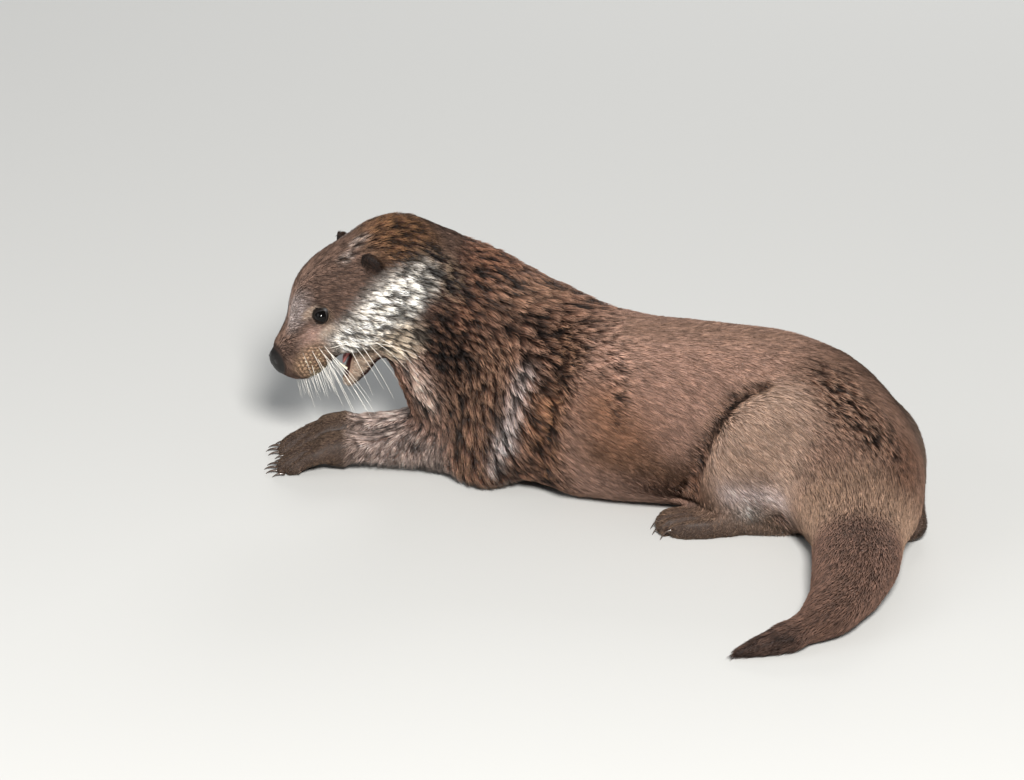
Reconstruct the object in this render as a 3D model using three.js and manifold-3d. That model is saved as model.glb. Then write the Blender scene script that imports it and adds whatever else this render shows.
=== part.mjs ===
// A Eurasian otter lying on its belly, life size, in millimetres, with +Z up. The head is at -X and the
// animal's left side is towards -Y. The outline is that of the coat. The body is one smooth field, made of
// tapered limbs and ellipsoids that blend, and is parted into its named pieces by cutting shapes.
import * as THREE from 'three';
import { mergeVertices } from 'three/addons/utils/BufferGeometryUtils.js';
import Module from 'manifold-3d';

const wasm = await Module();
wasm.setup();

const GAP = 0.3; // clear space between two pieces
const MERGE = 1e-4; // corners closer than this are one corner
const BLOCK = 2000; // edge of the blocks that cut flat
const STEP = 7; // length of each short straight stretch of a limb
const STEADY_STEPS = 4; // times that a corner is moved onto the surface
const PROBE = 0.05; // distance at which the field's slope is measured
const LEAST_STEEPNESS = 0.1; // keeps a corner from leaping where a field is nearly level

// Paths run from root to tip, each point [x, y, z, radius].
const SPINE = [
  [-160, 88, 156, 44], [-140, 90, 146, 53], [-112, 90, 123, 64.5], [-68, 84, 87, 75], [0, 33, 73, 75],
  [75, 13, 71.5, 73.5], [147, -6, 69, 71], [182, -46, 58, 62], [196, -92, 46, 50],
];
const TAIL = [
  [193, -70, 50, 53], [196, -112, 40, 43], [194, -163, 30, 37], [189, -209, 27.5, 34],
  [180, -246, 23, 28], [165, -280, 18, 22], [140, -303, 12.5, 15.5], [117, -314, 8.5, 11],
  [96, -320, 4.6, 6.5],
];
const TAIL_FLATNESS = 1.2; // width over height
// Points of the paths where pieces meet.
const NECK_TOP = 1;
const SHOULDERS = 2;
const WAIST = 4;
const HIPS = 6;
const TAIL_MIDDLE_FROM = 2;
const TAIL_END_FROM = 4;
const TAIL_TIP_FROM = 6;
const ELBOW = 2;
const ARM_LEFT = [
  [-74, 44, 80, 31], [-84, 36, 31, 30], [-104, 58, 26, 26], [-132, 74, 22.5, 23], [-165, 77, 19, 19],
  [-198, 75, 19, 16],
];
const ARM_RIGHT = [
  [-74, 136, 80, 31], [-90, 143, 31, 30], [-110, 134, 25, 25], [-134, 126, 21, 21], [-165, 121, 18.5, 18.5],
  [-198, 118, 19, 16],
];
const LEG_LEFT = [[110, -46, 33, 34], [132, -56, 25, 25], [147, -64, 15, 16]];
const LEG_RIGHT = [[200, 34, 37, 36], [226, -10, 27, 27], [238, -78, 15, 16]];

const SHOULDER_RADII = [46, 30, 54];
const SHOULDER_LEFT = [-70, 38, 78];
const SHOULDER_RIGHT = [-72, 134, 78];
const BREAST_AT = [-112, 84, 72];
const BREAST_RADII = [40, 44, 52];
const THIGH_LEFT = [142, -50, 62];
const THIGH_LEFT_RADII = [66, 42, 58]; // along the thigh, across it, and up
const THIGH_LEFT_TURN = 8; // degrees about the vertical
const THIGH_RIGHT = [206, -16, 50];
const THIGH_RIGHT_RADII = [60, 46, 46];
const THIGH_RIGHT_TURN = 107;
const LEG_INSET = 6; // from the animal's middle to where a leg begins

// Widths over which neighbouring shapes melt into each other.
const TAIL_BLEND = 24;
const NECK_BLEND = 16;
const SKULL_BLEND = 12;
const LIMB_BLEND = 9;
const FOOT_BLEND = 8;
const PAW_BLEND = 6;

// How far the cut round a limb lies outside it, to take the blend with it.
const REACH = 3;
const SHOULDER_REACH = 9;
const REGION_BLEND = 24;

const HEAD_AT = [-183, 80, 166]; // middle of the skull, between the ears
const HEAD_TURN = 21; // degrees towards -Y
const HEAD_NOD = 40; // degrees nose down
const HEAD_TILT = 10; // degrees about the line of the head

// In the head's own frame: forward, left, up. An oval is its middle and its half sizes.
const CRANIUM = [[-8, 0, -5], [50, 46, 33]];
const FOREHEAD = [[26, 0, 8], [43, 33, 30]];
const THROAT = [[-8, 0, -31], [42, 40, 32]];
const CHEEK_LEFT = [[20, 27, -18], [38, 22, 27]];
const CHEEK_RIGHT = [[20, -27, -18], [38, 22, 27]];
const LIP_LEFT = [[80, 16, -12], [19, 16, 17]];
const LIP_RIGHT = [[80, -16, -12], [19, 16, 17]];
const LIP_FRONT = [[89, 0, -14], [14, 12, 10]];
const SNOUT = [[46, 0, -7, 28], [72, 0, -6, 21], [86, 0, -5, 15]];
const NOSE = [[94, 0, -2], [8.5, 10.5, 9.5]];
const NOSE_CUT = [[101.5, 0, -2], [12, 11.5, 11]]; // what it takes from the muzzle is bare skin
const EYE_AT = [50.5, 25.5, 7];
const EYE_RADIUS = 6.4;
const EYE_FACETS = [10, 7];
const EAR_AT = [-5, 45, 15];
const EAR_RADII = [9.5, 5, 11.5];
const EAR_DISH = [[3, 4, 1], [6, 4.5, 8]];
const EAR_FACETS = [9, 6];
const EAR_TURN = 48; // degrees that an ear faces forward of straight out
const JAW_OPENING = 19; // degrees
const JAW_HINGE = [8, 0, -27];
const CHIN = [[6, 0, -6, 22], [32, 0, -8, 15.5], [52, 0, -7, 11.5], [64, 0, -6, 8.5]]; // from the hinge

const TOES = 5;
const TOE_TAPER = [1.15, 1, 0.8]; // share of a toe's thickness at its root, middle and tip
const TOE_SPACING = 1.5; // from the middle toe to the outer ones at their roots, in toe thicknesses
const OUTER_TOE_LOSS = 0.16; // share by which the outer toes are shorter
// Lengths from the wrist or ankle; a heading is in degrees from +X towards +Y.
const PAW = { palm: 16, rise: 0, palmShare: 0.85, toe: 40, spread: 11, thickness: 5.8, drop: 18.5 };
const FOOT = { ball: 52, height: 8.5, radius: 12, toe: 46, spread: 15, thickness: 6.8, drop: 2.5 };
const WEB = { from: 74, height: 7, radii: [33, 20, 5.5] };
const PAW_LEFT_HEADING = 179;
const PAW_RIGHT_HEADING = 181;
const FOOT_LEFT_HEADING = 175;
const FOOT_RIGHT_HEADING = 98;

// Edge of the grid cells that each kind of piece is faceted with.
const CELL = { trunk: 29, limb: 24, tail: 19, tip: 7.5, head: 11.6, paw: 8, foot: 10.8, small: 6 };

const COAT = [0x7a5a4b, 0.75, 0]; // colour, roughness, metalness
const NAPE = [0x6b4230, 0.6, 0];
const CHEEK = [0xd8cbb8, 0.7, 0];
const WET_LIMB = [0x5b3f33, 0.5, 0];
const TAIL_COAT = [0x5f463b, 0.7, 0];
const TAIL_TIP = [0x3a2a25, 0.6, 0];
const EAR_COAT = [0x2e1d17, 0.7, 0];
const NOSE_SKIN = [0x1d1616, 0.4, 0];
const EYE_GLOSS = [0x0c0a0c, 0.05, 0];

// ---- shapes as fields: each gives the distance to its surface, below zero inside -------------------

function blend(first, second, width) {
  const overlap = Math.max(width - Math.abs(first - second), 0) / width;
  return Math.min(first, second) - overlap * overlap * width * 0.25;
}

// A field keeps the box that its shape lies in, so that a shape too far away to matter can be passed over.
function bounded(field, box) {
  field.box = box;
  const middle = box.getCenter(new THREE.Vector3());
  const reach = box.getSize(new THREE.Vector3()).length() / 2;
  field.least = (x, y, z) => {
    const [dx, dy, dz] = [x - middle.x, y - middle.y, z - middle.z];
    return Math.sqrt(dx * dx + dy * dy + dz * dz) - reach;
  };
  return field;
}

function joined(fields, width) {
  const box = fields.reduce((all, field) => all.union(field.box), new THREE.Box3());
  const field = (x, y, z) => {
    let distance = Infinity;
    for (const part of fields) {
      const known = distance + width;
      if (distance === Infinity || part.least(x, y, z) < known) {
        const next = part(x, y, z);
        distance = distance === Infinity ? next : blend(distance, next, width);
      }
    }
    return distance;
  };
  return bounded(field, box);
}

function limb(path, flatness = 1) {
  const centres = new THREE.CatmullRomCurve3(
    path.map(([x, y, z]) => new THREE.Vector3(x, y, z)), false, 'catmullrom', 0.5);
  const radii = new THREE.SplineCurve(path.map(([, , , r], i) => new THREE.Vector2(i, r)));
  const count = Math.ceil(centres.getLength() / STEP);
  const rings = new Float64Array(4 * count + 4);
  for (let i = 0; i <= count; i += 1) {
    const { x, y, z } = centres.getPoint(i / count);
    rings.set([x, y, z * flatness, radii.getPoint(i / count).y], 4 * i);
  }
  const field = (x, y, z) => {
    const high = z * flatness;
    let distance = Infinity;
    for (let i = 0; i < 4 * count; i += 4) {
      const ux = rings[i + 4] - rings[i];
      const uy = rings[i + 5] - rings[i + 1];
      const uz = rings[i + 6] - rings[i + 2];
      const px = x - rings[i];
      const py = y - rings[i + 1];
      const pz = high - rings[i + 2];
      const t = Math.min(Math.max((px * ux + py * uy + pz * uz) / (ux * ux + uy * uy + uz * uz), 0), 1);
      const far = Math.sqrt((px - t * ux) ** 2 + (py - t * uy) ** 2 + (pz - t * uz) ** 2);
      distance = Math.min(distance, far - rings[i + 3] - t * (rings[i + 7] - rings[i + 3]));
    }
    return distance;
  };
  return bounded(field, boxAround(path, 0));
}

function ellipsoid([cx, cy, cz], [rx, ry, rz]) {
  const field = (x, y, z) => {
    const dx = (x - cx) / rx;
    const dy = (y - cy) / ry;
    const dz = (z - cz) / rz;
    const near = Math.sqrt(dx * dx + dy * dy + dz * dz);
    const slope = Math.sqrt((dx / rx) ** 2 + (dy / ry) ** 2 + (dz / rz) ** 2);
    return slope < 1e-9 ? -Math.min(rx, ry, rz) : near * (near - 1) / slope;
  };
  return bounded(field, new THREE.Box3(
    new THREE.Vector3(cx - rx, cy - ry, cz - rz), new THREE.Vector3(cx + rx, cy + ry, cz + rz)));
}

function placed(field, matrix) {
  const [a, b, c, , d, e, f, , g, h, i, , tx, ty, tz] = matrix.clone().invert().elements;
  const moved = (x, y, z) => field(
    a * x + d * y + g * z + tx, b * x + e * y + h * z + ty, c * x + f * y + i * z + tz);
  return bounded(moved, field.box.clone().applyMatrix4(matrix));
}

function turned(field, [x, y, z], degrees) {
  const matrix = new THREE.Matrix4().makeRotationZ(THREE.MathUtils.degToRad(degrees));
  return placed(field, matrix.setPosition(x, y, z));
}

function grown(field, by) {
  return bounded((x, y, z) => field(x, y, z) - by, field.box.clone().expandByScalar(by));
}

// ---- fields to closed meshes ------------------------------------------------------------------------

function slopeOf(field, x, y, z) {
  return new THREE.Vector3(
    field(x + PROBE, y, z) - field(x - PROBE, y, z),
    field(x, y + PROBE, z) - field(x, y - PROBE, z),
    field(x, y, z + PROBE) - field(x, y, z - PROBE)).divideScalar(2 * PROBE);
}

function settled(field, point, cell) {
  const start = point.clone();
  for (let step = 0; step < STEADY_STEPS; step += 1) {
    const slope = slopeOf(field, point.x, point.y, point.z);
    const steepness = Math.max(slope.lengthSq(), LEAST_STEEPNESS);
    point.addScaledVector(slope, -field(point.x, point.y, point.z) / steepness);
  }
  return point.distanceTo(start) < cell ? point : start;
}

// One corner goes in each grid cell that the surface crosses, and one four-sided face round each grid
// edge that it crosses.
function meshOf(field, box, cell) {
  const count = box.getSize(new THREE.Vector3()).divideScalar(cell).ceil().addScalar(1);
  const [nx, ny, nz] = [count.x, count.y, count.z];
  const stride = [1, nx, nx * ny];
  const values = new Float32Array(nx * ny * nz);
  const at = (i, j, k) => i + nx * j + nx * ny * k;
  for (let k = 0; k < nz; k += 1) {
    for (let j = 0; j < ny; j += 1) {
      for (let i = 0; i < nx; i += 1) {
        values[at(i, j, k)] = field(box.min.x + i * cell, box.min.y + j * cell, box.min.z + k * cell);
      }
    }
  }
  const corners = [];
  const cornerOf = new Map();
  const cellCorner = (i, j, k) => {
    const key = at(i, j, k);
    if (cornerOf.has(key)) return cornerOf.get(key);
    const sum = new THREE.Vector3();
    let crossings = 0;
    for (let axis = 0; axis < 3; axis += 1) {
      const [other, third] = [(axis + 1) % 3, (axis + 2) % 3];
      for (const [u, v] of [[0, 0], [0, 1], [1, 0], [1, 1]]) {
        const offset = [0, 0, 0];
        offset[other] = u;
        offset[third] = v;
        const near = values[key + offset[0] * stride[0] + offset[1] * stride[1] + offset[2] * stride[2]];
        const start = at(i + offset[0], j + offset[1], k + offset[2]);
        const far = values[start + stride[axis]];
        if (near < 0 !== far < 0) {
          offset[axis] = near / (near - far);
          sum.add(new THREE.Vector3(i + offset[0], j + offset[1], k + offset[2]));
          crossings += 1;
        }
      }
    }
    const point = sum.multiplyScalar(cell / crossings).add(box.min);
    corners.push(settled(field, point, cell));
    cornerOf.set(key, corners.length - 1);
    return corners.length - 1;
  };
  const triangles = [];
  for (let k = 1; k < nz - 1; k += 1) {
    for (let j = 1; j < ny - 1; j += 1) {
      for (let i = 1; i < nx - 1; i += 1) {
        for (let axis = 0; axis < 3; axis += 1) {
          const inside = values[at(i, j, k)] < 0;
          if (inside !== values[at(i, j, k) + stride[axis]] < 0) {
            const [u, v] = [[0, 0, 0], [0, 0, 0]];
            u[(axis + 1) % 3] = 1;
            v[(axis + 2) % 3] = 1;
            const round = [[1, 1], [0, 1], [0, 0], [1, 0]].map(([s, t]) => cellCorner(
              i - s * u[0] - t * v[0], j - s * u[1] - t * v[1], k - s * u[2] - t * v[2]));
            if (!inside) round.reverse();
            const across = corners[round[0]].distanceTo(corners[round[2]]);
            const down = corners[round[1]].distanceTo(corners[round[3]]);
            const first = across < down ? 0 : 1;
            const [a, b, c, d] = [0, 1, 2, 3].map((n) => round[(n + first) % 4]);
            triangles.push(a, b, c, a, c, d);
          }
        }
      }
    }
  }
  return { corners, triangles };
}

function solidFrom(positions, triangles) {
  return new wasm.Manifold(new wasm.Mesh({
    numProp: 3,
    vertProperties: new Float32Array(positions),
    triVerts: new Uint32Array(triangles),
  }));
}

function solidOf(geometry) {
  const bare = geometry.clone();
  bare.deleteAttribute('normal');
  bare.deleteAttribute('uv');
  const merged = mergeVertices(bare, MERGE);
  return solidFrom(merged.attributes.position.array, merged.index.array);
}

function geometryOf(solid) {
  const mesh = solid.getMesh();
  const geometry = new THREE.BufferGeometry();
  geometry.setAttribute('position', new THREE.BufferAttribute(new Float32Array(mesh.vertProperties), 3));
  geometry.setIndex(new THREE.BufferAttribute(new Uint32Array(mesh.triVerts), 1));
  return geometry;
}

function boxAround(points, margin) {
  const box = new THREE.Box3();
  for (const [x, y, z, r = 0] of points) {
    box.expandByPoint(new THREE.Vector3(x - r, y - r, z - r));
    box.expandByPoint(new THREE.Vector3(x + r, y + r, z + r));
  }
  return box.expandByScalar(margin);
}

// ---- the animal's own shapes ------------------------------------------------------------------------

function headFrame() {
  const forward = new THREE.Vector3(-1, 0, 0);
  const left = new THREE.Vector3(0, -1, 0);
  const up = new THREE.Vector3(0, 0, 1);
  const basis = new THREE.Matrix4().makeBasis(forward, left, up);
  const turn = new THREE.Matrix4().makeRotationZ(THREE.MathUtils.degToRad(HEAD_TURN));
  const nod = new THREE.Matrix4().makeRotationY(THREE.MathUtils.degToRad(HEAD_NOD));
  const tilt = new THREE.Matrix4().makeRotationX(THREE.MathUtils.degToRad(HEAD_TILT));
  return turn.multiply(basis).multiply(nod).multiply(tilt).setPosition(...HEAD_AT);
}

const HEAD = headFrame();

function headPoint([forward, left, up], side = 1) {
  return new THREE.Vector3(forward, left * side, up).applyMatrix4(HEAD);
}

function skull() {
  const ovals = [CRANIUM, FOREHEAD, THROAT, CHEEK_LEFT, CHEEK_RIGHT, LIP_LEFT, LIP_RIGHT, LIP_FRONT, NOSE];
  return placed(joined([...ovals.map((each) => ellipsoid(...each)), limb(SNOUT)], SKULL_BLEND), HEAD);
}

function jaw() {
  const drop = new THREE.Matrix4().makeRotationY(THREE.MathUtils.degToRad(JAW_OPENING));
  return placed(limb(CHIN), HEAD.clone().multiply(drop.setPosition(...JAW_HINGE)));
}

function oval([at, radii], facets) {
  return new THREE.SphereGeometry(1, ...facets).scale(...radii).translate(...at);
}

function ear(side) {
  const [forward, left, up] = EAR_AT;
  const turn = new THREE.Matrix4().makeRotationZ(THREE.MathUtils.degToRad(-EAR_TURN * side));
  const place = new THREE.Matrix4().makeTranslation(forward, left * side, up);
  const matrix = HEAD.clone().multiply(place).multiply(turn);
  const shell = solidOf(oval([[0, 0, 0], EAR_RADII], EAR_FACETS).applyMatrix4(matrix));
  const [[dishForward, dishLeft, dishUp], dishRadii] = EAR_DISH;
  const dish = oval([[dishForward, dishLeft * side, dishUp], dishRadii], EAR_FACETS);
  return shell.subtract(solidOf(dish.applyMatrix4(matrix)));
}

function toesOf([x, y, z], heading, { toe, spread, thickness, drop }) {
  const turn = THREE.MathUtils.degToRad(heading);
  const middleToe = (TOES - 1) / 2;
  const [rootRadius, middleRadius, tipRadius] = TOE_TAPER.map((share) => share * thickness);
  return Array.from({ length: TOES }, (_, i) => {
    const share = (i - middleToe) / middleToe;
    const reach = toe * (1 - OUTER_TOE_LOSS * share * share);
    const out = turn + THREE.MathUtils.degToRad(spread) * share;
    const side = thickness * TOE_SPACING * share;
    const root = [x - Math.sin(turn) * side, y + Math.cos(turn) * side];
    const tip = [root[0] + Math.cos(out) * reach, root[1] + Math.sin(out) * reach];
    const middle = [(root[0] + tip[0]) / 2, (root[1] + tip[1]) / 2];
    return limb([
      [...root, z, rootRadius], [...middle, z - drop * 0.3, middleRadius], [...tip, z - drop, tipRadius],
    ]);
  });
}

function ahead([x, y], heading, distance, z) {
  const turn = THREE.MathUtils.degToRad(heading);
  return [x + Math.cos(turn) * distance, y + Math.sin(turn) * distance, z];
}

function forepaw(arm, heading) {
  const wrist = arm.at(-1);
  const [, , z, r] = wrist;
  const palm = ahead(wrist, heading, PAW.palm, z + PAW.rise);
  return joined([limb([wrist, [...palm, r * PAW.palmShare]]), ...toesOf(palm, heading, PAW)], PAW_BLEND);
}

function hindFoot(leg, heading) {
  const ankle = leg.at(-1);
  const ball = ahead(ankle, heading, FOOT.ball, FOOT.height);
  const web = turned(ellipsoid([0, 0, 0], WEB.radii), ahead(ankle, heading, WEB.from, WEB.height), heading);
  return joined([limb([ankle, [...ball, FOOT.radius]]), web, ...toesOf(ball, heading, FOOT)], FOOT_BLEND);
}

const shapes = {
  spine: limb(SPINE),
  tail: limb(TAIL, TAIL_FLATNESS),
  skull: skull(),
  breast: ellipsoid(BREAST_AT, BREAST_RADII),
  shoulderLeft: ellipsoid(SHOULDER_LEFT, SHOULDER_RADII),
  shoulderRight: ellipsoid(SHOULDER_RIGHT, SHOULDER_RADII),
  armLeft: limb(ARM_LEFT),
  armRight: limb(ARM_RIGHT),
  pawLeft: forepaw(ARM_LEFT, PAW_LEFT_HEADING),
  pawRight: forepaw(ARM_RIGHT, PAW_RIGHT_HEADING),
  thighLeft: turned(ellipsoid([0, 0, 0], THIGH_LEFT_RADII), THIGH_LEFT, THIGH_LEFT_TURN),
  thighRight: turned(ellipsoid([0, 0, 0], THIGH_RIGHT_RADII), THIGH_RIGHT, THIGH_RIGHT_TURN),
  shankLeft: limb(LEG_LEFT),
  shankRight: limb(LEG_RIGHT),
  footLeft: hindFoot(LEG_LEFT, FOOT_LEFT_HEADING),
  footRight: hindFoot(LEG_RIGHT, FOOT_RIGHT_HEADING),
};

const torso = joined([
  joined([shapes.spine, shapes.tail], TAIL_BLEND), shapes.skull, shapes.breast], NECK_BLEND);
const body = joined([
  torso, shapes.shoulderLeft, shapes.shoulderRight, shapes.thighLeft, shapes.thighRight,
  shapes.armLeft, shapes.armRight, shapes.shankLeft, shapes.shankRight], LIMB_BLEND);

// ---- parting into pieces ----------------------------------------------------------------------------

function blockSolid(matrix) {
  const block = new THREE.BoxGeometry(BLOCK, BLOCK, BLOCK);
  block.translate(0, 0, BLOCK / 2);
  return solidOf(block.applyMatrix4(matrix));
}

// Everything on one side of a flat cut through a point of a path.
function sideOf(path, index, towardsTip, gap = 0) {
  const points = [index, index - 1, Math.min(index + 1, path.length - 1)];
  const [at, before, after] = points.map((n) => new THREE.Vector3(...path[n]));
  const way = after.sub(before).normalize().multiplyScalar(towardsTip ? 1 : -1);
  return facing(at.addScaledVector(way, -gap), way);
}

function facing(start, way) {
  const turn = new THREE.Quaternion().setFromUnitVectors(new THREE.Vector3(0, 0, 1), way);
  return blockSolid(new THREE.Matrix4().compose(start, turn, new THREE.Vector3(1, 1, 1)));
}

// Everything on one side of the animal's middle at the hips, from a little way out.
function flankOf(side, gap = 0) {
  const [hips, root] = [SPINE[HIPS], SPINE.at(-1)].map(([x, y]) => new THREE.Vector3(x, y, 0));
  const left = new THREE.Vector3(0, 0, 1).cross(hips.clone().sub(root).normalize());
  const out = left.multiplyScalar(side);
  return facing(root.addScaledVector(out, LEG_INSET - gap), out);
}

const aboveFloor = blockSolid(new THREE.Matrix4());

function facet(field, cell) {
  return swollen(field, cell)[0];
}

// The same facets twice: on the surface, and moved out from it by the gap.
function swollen(field, cell) {
  const { corners, triangles } = meshOf(field, field.box.clone().expandByScalar(2 * cell), cell);
  return [0, GAP].map((gap) => solidFrom(corners.flatMap((corner) => {
    const out = slopeOf(field, corner.x, corner.y, corner.z).normalize();
    return corner.clone().addScaledVector(out, gap).toArray();
  }), triangles));
}

// The stretch of a field that lies in the box of another, closed off by that box's sides.
function near(field, other, margin) {
  const box = other.box.clone().expandByScalar(margin);
  const middle = box.getCenter(new THREE.Vector3());
  const half = box.getSize(new THREE.Vector3()).multiplyScalar(0.5);
  return bounded((x, y, z) => Math.max(
    field(x, y, z), Math.abs(x - middle.x) - half.x, Math.abs(y - middle.y) - half.y,
    Math.abs(z - middle.z) - half.z), box);
}

// A surface near a region, closed off a little way outside it, and trimmed by the floor.
function surfaceNear(region, cell) {
  const wide = grown(region, cell);
  const local = bounded((x, y, z) => Math.max(body(x, y, z), wide(x, y, z)), wide.box);
  return facet(local, cell).intersect(aboveFloor);
}

function largest(solid) {
  return solid.decompose().sort((first, second) => second.volume() - first.volume())[0];
}

const model = new THREE.Group();

function addPiece(name, solid, [color, roughness, metalness]) {
  const material = new THREE.MeshStandardMaterial({ color, roughness, metalness });
  const mesh = new THREE.Mesh(geometryOf(largest(solid)), material);
  mesh.name = name;
  model.add(mesh);
}

function addArm(side, path, shoulder, paw) {
  const arm = joined([grown(limb(path), REACH), grown(shoulder, SHOULDER_REACH)], REGION_BLEND);
  const [armCut, armClear] = swollen(arm, CELL.limb);
  const whole = surfaceNear(arm, CELL.limb).intersect(armCut);
  const wrist = path.length - 1;
  const pawWhole = facet(paw, CELL.paw).intersect(aboveFloor);
  addPiece(`forepaw_${side}`, pawWhole.intersect(sideOf(path, wrist, true)), WET_LIMB);
  addPiece(`forearm_${side}`, whole.intersect(sideOf(path, ELBOW, true)).subtract(
    sideOf(path, wrist, true, GAP)), WET_LIMB);
  addPiece(`upper_arm_${side}`, whole.subtract(sideOf(path, ELBOW, true, GAP)), COAT);
  return armClear;
}

function addLeg(side, foot, leg) {
  const flank = side === 'left' ? 1 : -1;
  const [footWhole, footClear] = swollen(foot, CELL.foot);
  const [legCut, legClear] = swollen(grown(leg, REACH), CELL.limb);
  const whole = surfaceNear(leg, CELL.limb).intersect(legCut).intersect(flankOf(flank));
  addPiece(`hind_foot_${side}`, footWhole.intersect(aboveFloor), WET_LIMB);
  addPiece(`hind_leg_${side}`, whole.subtract(footClear), COAT);
  return footClear.add(legClear.intersect(flankOf(flank, GAP)));
}

function addEyes() {
  return [['eye_left', 1], ['eye_right', -1]].map(([name, side]) => {
    const place = headPoint(EYE_AT, side);
    const ball = new THREE.SphereGeometry(EYE_RADIUS, ...EYE_FACETS).translate(...place);
    addPiece(name, solidOf(ball), EYE_GLOSS);
    return solidOf(new THREE.SphereGeometry(EYE_RADIUS + GAP, ...EYE_FACETS).translate(...place));
  });
}

function addHead(limbs) {
  const [surface, wide] = swollen(near(torso, shapes.skull, CELL.limb), CELL.head);
  const fromNeck = sideOf(SPINE, NECK_TOP, false);
  const whole = surface.intersect(fromNeck);
  const nose = placed(ellipsoid(...NOSE_CUT), HEAD);
  const bare = addEyes().reduce((rest, socket) => rest.subtract(socket), whole);
  const [noseCut, noseClear] = swollen(nose, CELL.small);
  addPiece('nose', whole.intersect(noseCut), NOSE_SKIN);
  addPiece('head', bare.subtract(noseClear).subtract(limbs), CHEEK);
  addPiece('ear_left', ear(1).subtract(wide), EAR_COAT);
  addPiece('ear_right', ear(-1).subtract(wide), EAR_COAT);
  addPiece('lower_jaw', facet(jaw(), CELL.paw).subtract(wide).intersect(fromNeck), CHEEK);
}

// Cuts a faceted stretch of the trunk or tail into lengths at points of its path.
function addLengths(solid, path, pieces) {
  pieces.reduce((rest, [name, index, look]) => {
    if (index === null) {
      addPiece(name, rest, look);
      return rest;
    }
    addPiece(name, rest.intersect(sideOf(path, index, true)), look);
    return rest.subtract(sideOf(path, index, true, GAP));
  }, solid);
}

function addTrunkAndTail(limbs) {
  const tip = facet(near(torso, limb(TAIL.slice(TAIL_TIP_FROM)), CELL.tail), CELL.tip);
  const tail = facet(near(torso, shapes.tail, CELL.tail), CELL.tail).intersect(aboveFloor);
  const lengths = tail.intersect(sideOf(TAIL, 1, true)).subtract(limbs)
    .subtract(sideOf(TAIL, TAIL_TIP_FROM, true, GAP));
  const trunk = facet(torso, CELL.trunk).intersect(aboveFloor).subtract(limbs)
    .subtract(sideOf(TAIL, 1, true, GAP)).subtract(sideOf(SPINE, NECK_TOP, false, GAP));
  addPiece('tail_tip', tip.intersect(aboveFloor).intersect(sideOf(TAIL, TAIL_TIP_FROM, true)), TAIL_TIP);
  addLengths(lengths, TAIL, [
    ['tail_end', TAIL_END_FROM, TAIL_COAT], ['tail_middle', TAIL_MIDDLE_FROM, TAIL_COAT],
    ['tail_root', null, TAIL_COAT],
  ]);
  addLengths(trunk, SPINE, [
    ['rump', HIPS, COAT], ['loin', WAIST, COAT], ['chest', SHOULDERS, NAPE], ['neck', null, NAPE],
  ]);
}

const limbCuts = [
  addArm('left', ARM_LEFT, shapes.shoulderLeft, shapes.pawLeft),
  addArm('right', ARM_RIGHT, shapes.shoulderRight, shapes.pawRight),
  addLeg('left', shapes.footLeft, joined([shapes.thighLeft, shapes.shankLeft], REGION_BLEND)),
  addLeg('right', shapes.footRight, joined([shapes.thighRight, shapes.shankRight], REGION_BLEND)),
].reduce((all, cut) => all.add(cut));
addHead(limbCuts);
addTrunkAndTail(limbCuts);

const extent = new THREE.Box3().setFromObject(model);
model.position.set(-(extent.min.x + extent.max.x) / 2, -(extent.min.y + extent.max.y) / 2, 0);

export default model;
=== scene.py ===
"""A Eurasian otter at life size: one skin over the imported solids, and the coat, eyes, nose, mouth,
whiskers and claws that go on it. Lengths are in millimetres until they are placed, then in metres.
"""

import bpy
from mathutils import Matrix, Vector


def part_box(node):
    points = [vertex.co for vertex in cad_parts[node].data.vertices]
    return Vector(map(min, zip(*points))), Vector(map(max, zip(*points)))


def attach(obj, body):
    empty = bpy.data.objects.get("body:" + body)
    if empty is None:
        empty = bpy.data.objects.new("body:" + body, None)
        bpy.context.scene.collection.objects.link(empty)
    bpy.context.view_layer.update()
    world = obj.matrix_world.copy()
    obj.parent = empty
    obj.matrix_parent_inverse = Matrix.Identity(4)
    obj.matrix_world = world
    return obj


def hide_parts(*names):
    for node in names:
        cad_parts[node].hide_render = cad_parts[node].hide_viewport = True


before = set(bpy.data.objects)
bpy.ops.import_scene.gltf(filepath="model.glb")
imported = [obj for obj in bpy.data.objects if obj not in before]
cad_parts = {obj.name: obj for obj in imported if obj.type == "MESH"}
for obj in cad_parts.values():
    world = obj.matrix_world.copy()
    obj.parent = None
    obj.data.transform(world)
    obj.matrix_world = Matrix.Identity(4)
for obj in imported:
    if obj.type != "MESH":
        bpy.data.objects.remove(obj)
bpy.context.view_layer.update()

import logging
import math
from dataclasses import astuple, dataclass, field
from enum import Enum

import bmesh
import bpy
import numpy as np
from mathutils import Matrix, Vector, kdtree

log = logging.getLogger("otter")

MM = 0.001
PER_CM2 = 1e4
FAR_AWAY = 9.0
BODY = "root"
SIDES = {"left": 1.0, "right": -1.0}
SEED = 20
MAP = "OFBake"
MAP_PATCH = 0.003
MERGE_WITHIN = 0.02
EASE_KEPT, EASE_TAKEN = 0.3, 0.7
JAW_HINGE = np.array([8.0, 0.0, -27.0])
JAW_OPENING = 19.0
OPEN = -math.inf
PALATE = ((36, OPEN, OPEN), (86, 13, -17))
JAW_TOP = ((18, OPEN, -6), (65, 6.5, 14))

NODES = sorted(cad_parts)
EYE_NODES = ["eye_left", "eye_right"]
FLESH = [name for name in NODES if name not in EYE_NODES]
FINE_PARTS = [
    "head", "lower_jaw", "nose", "ear_left", "ear_right", "forepaw_left", "forepaw_right",
]


class Form(Enum):
    """How many rings of corners a lock of hair has below its tip."""

    SHORT = 1
    BENT = 2
    WAVY = 3

    def triangles(self) -> int:
        """Count a lock's triangles: its root, its sides and its tip."""
        return 1 + 6 * (self.value - 1) + 3


# ---- small helpers ----


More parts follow.
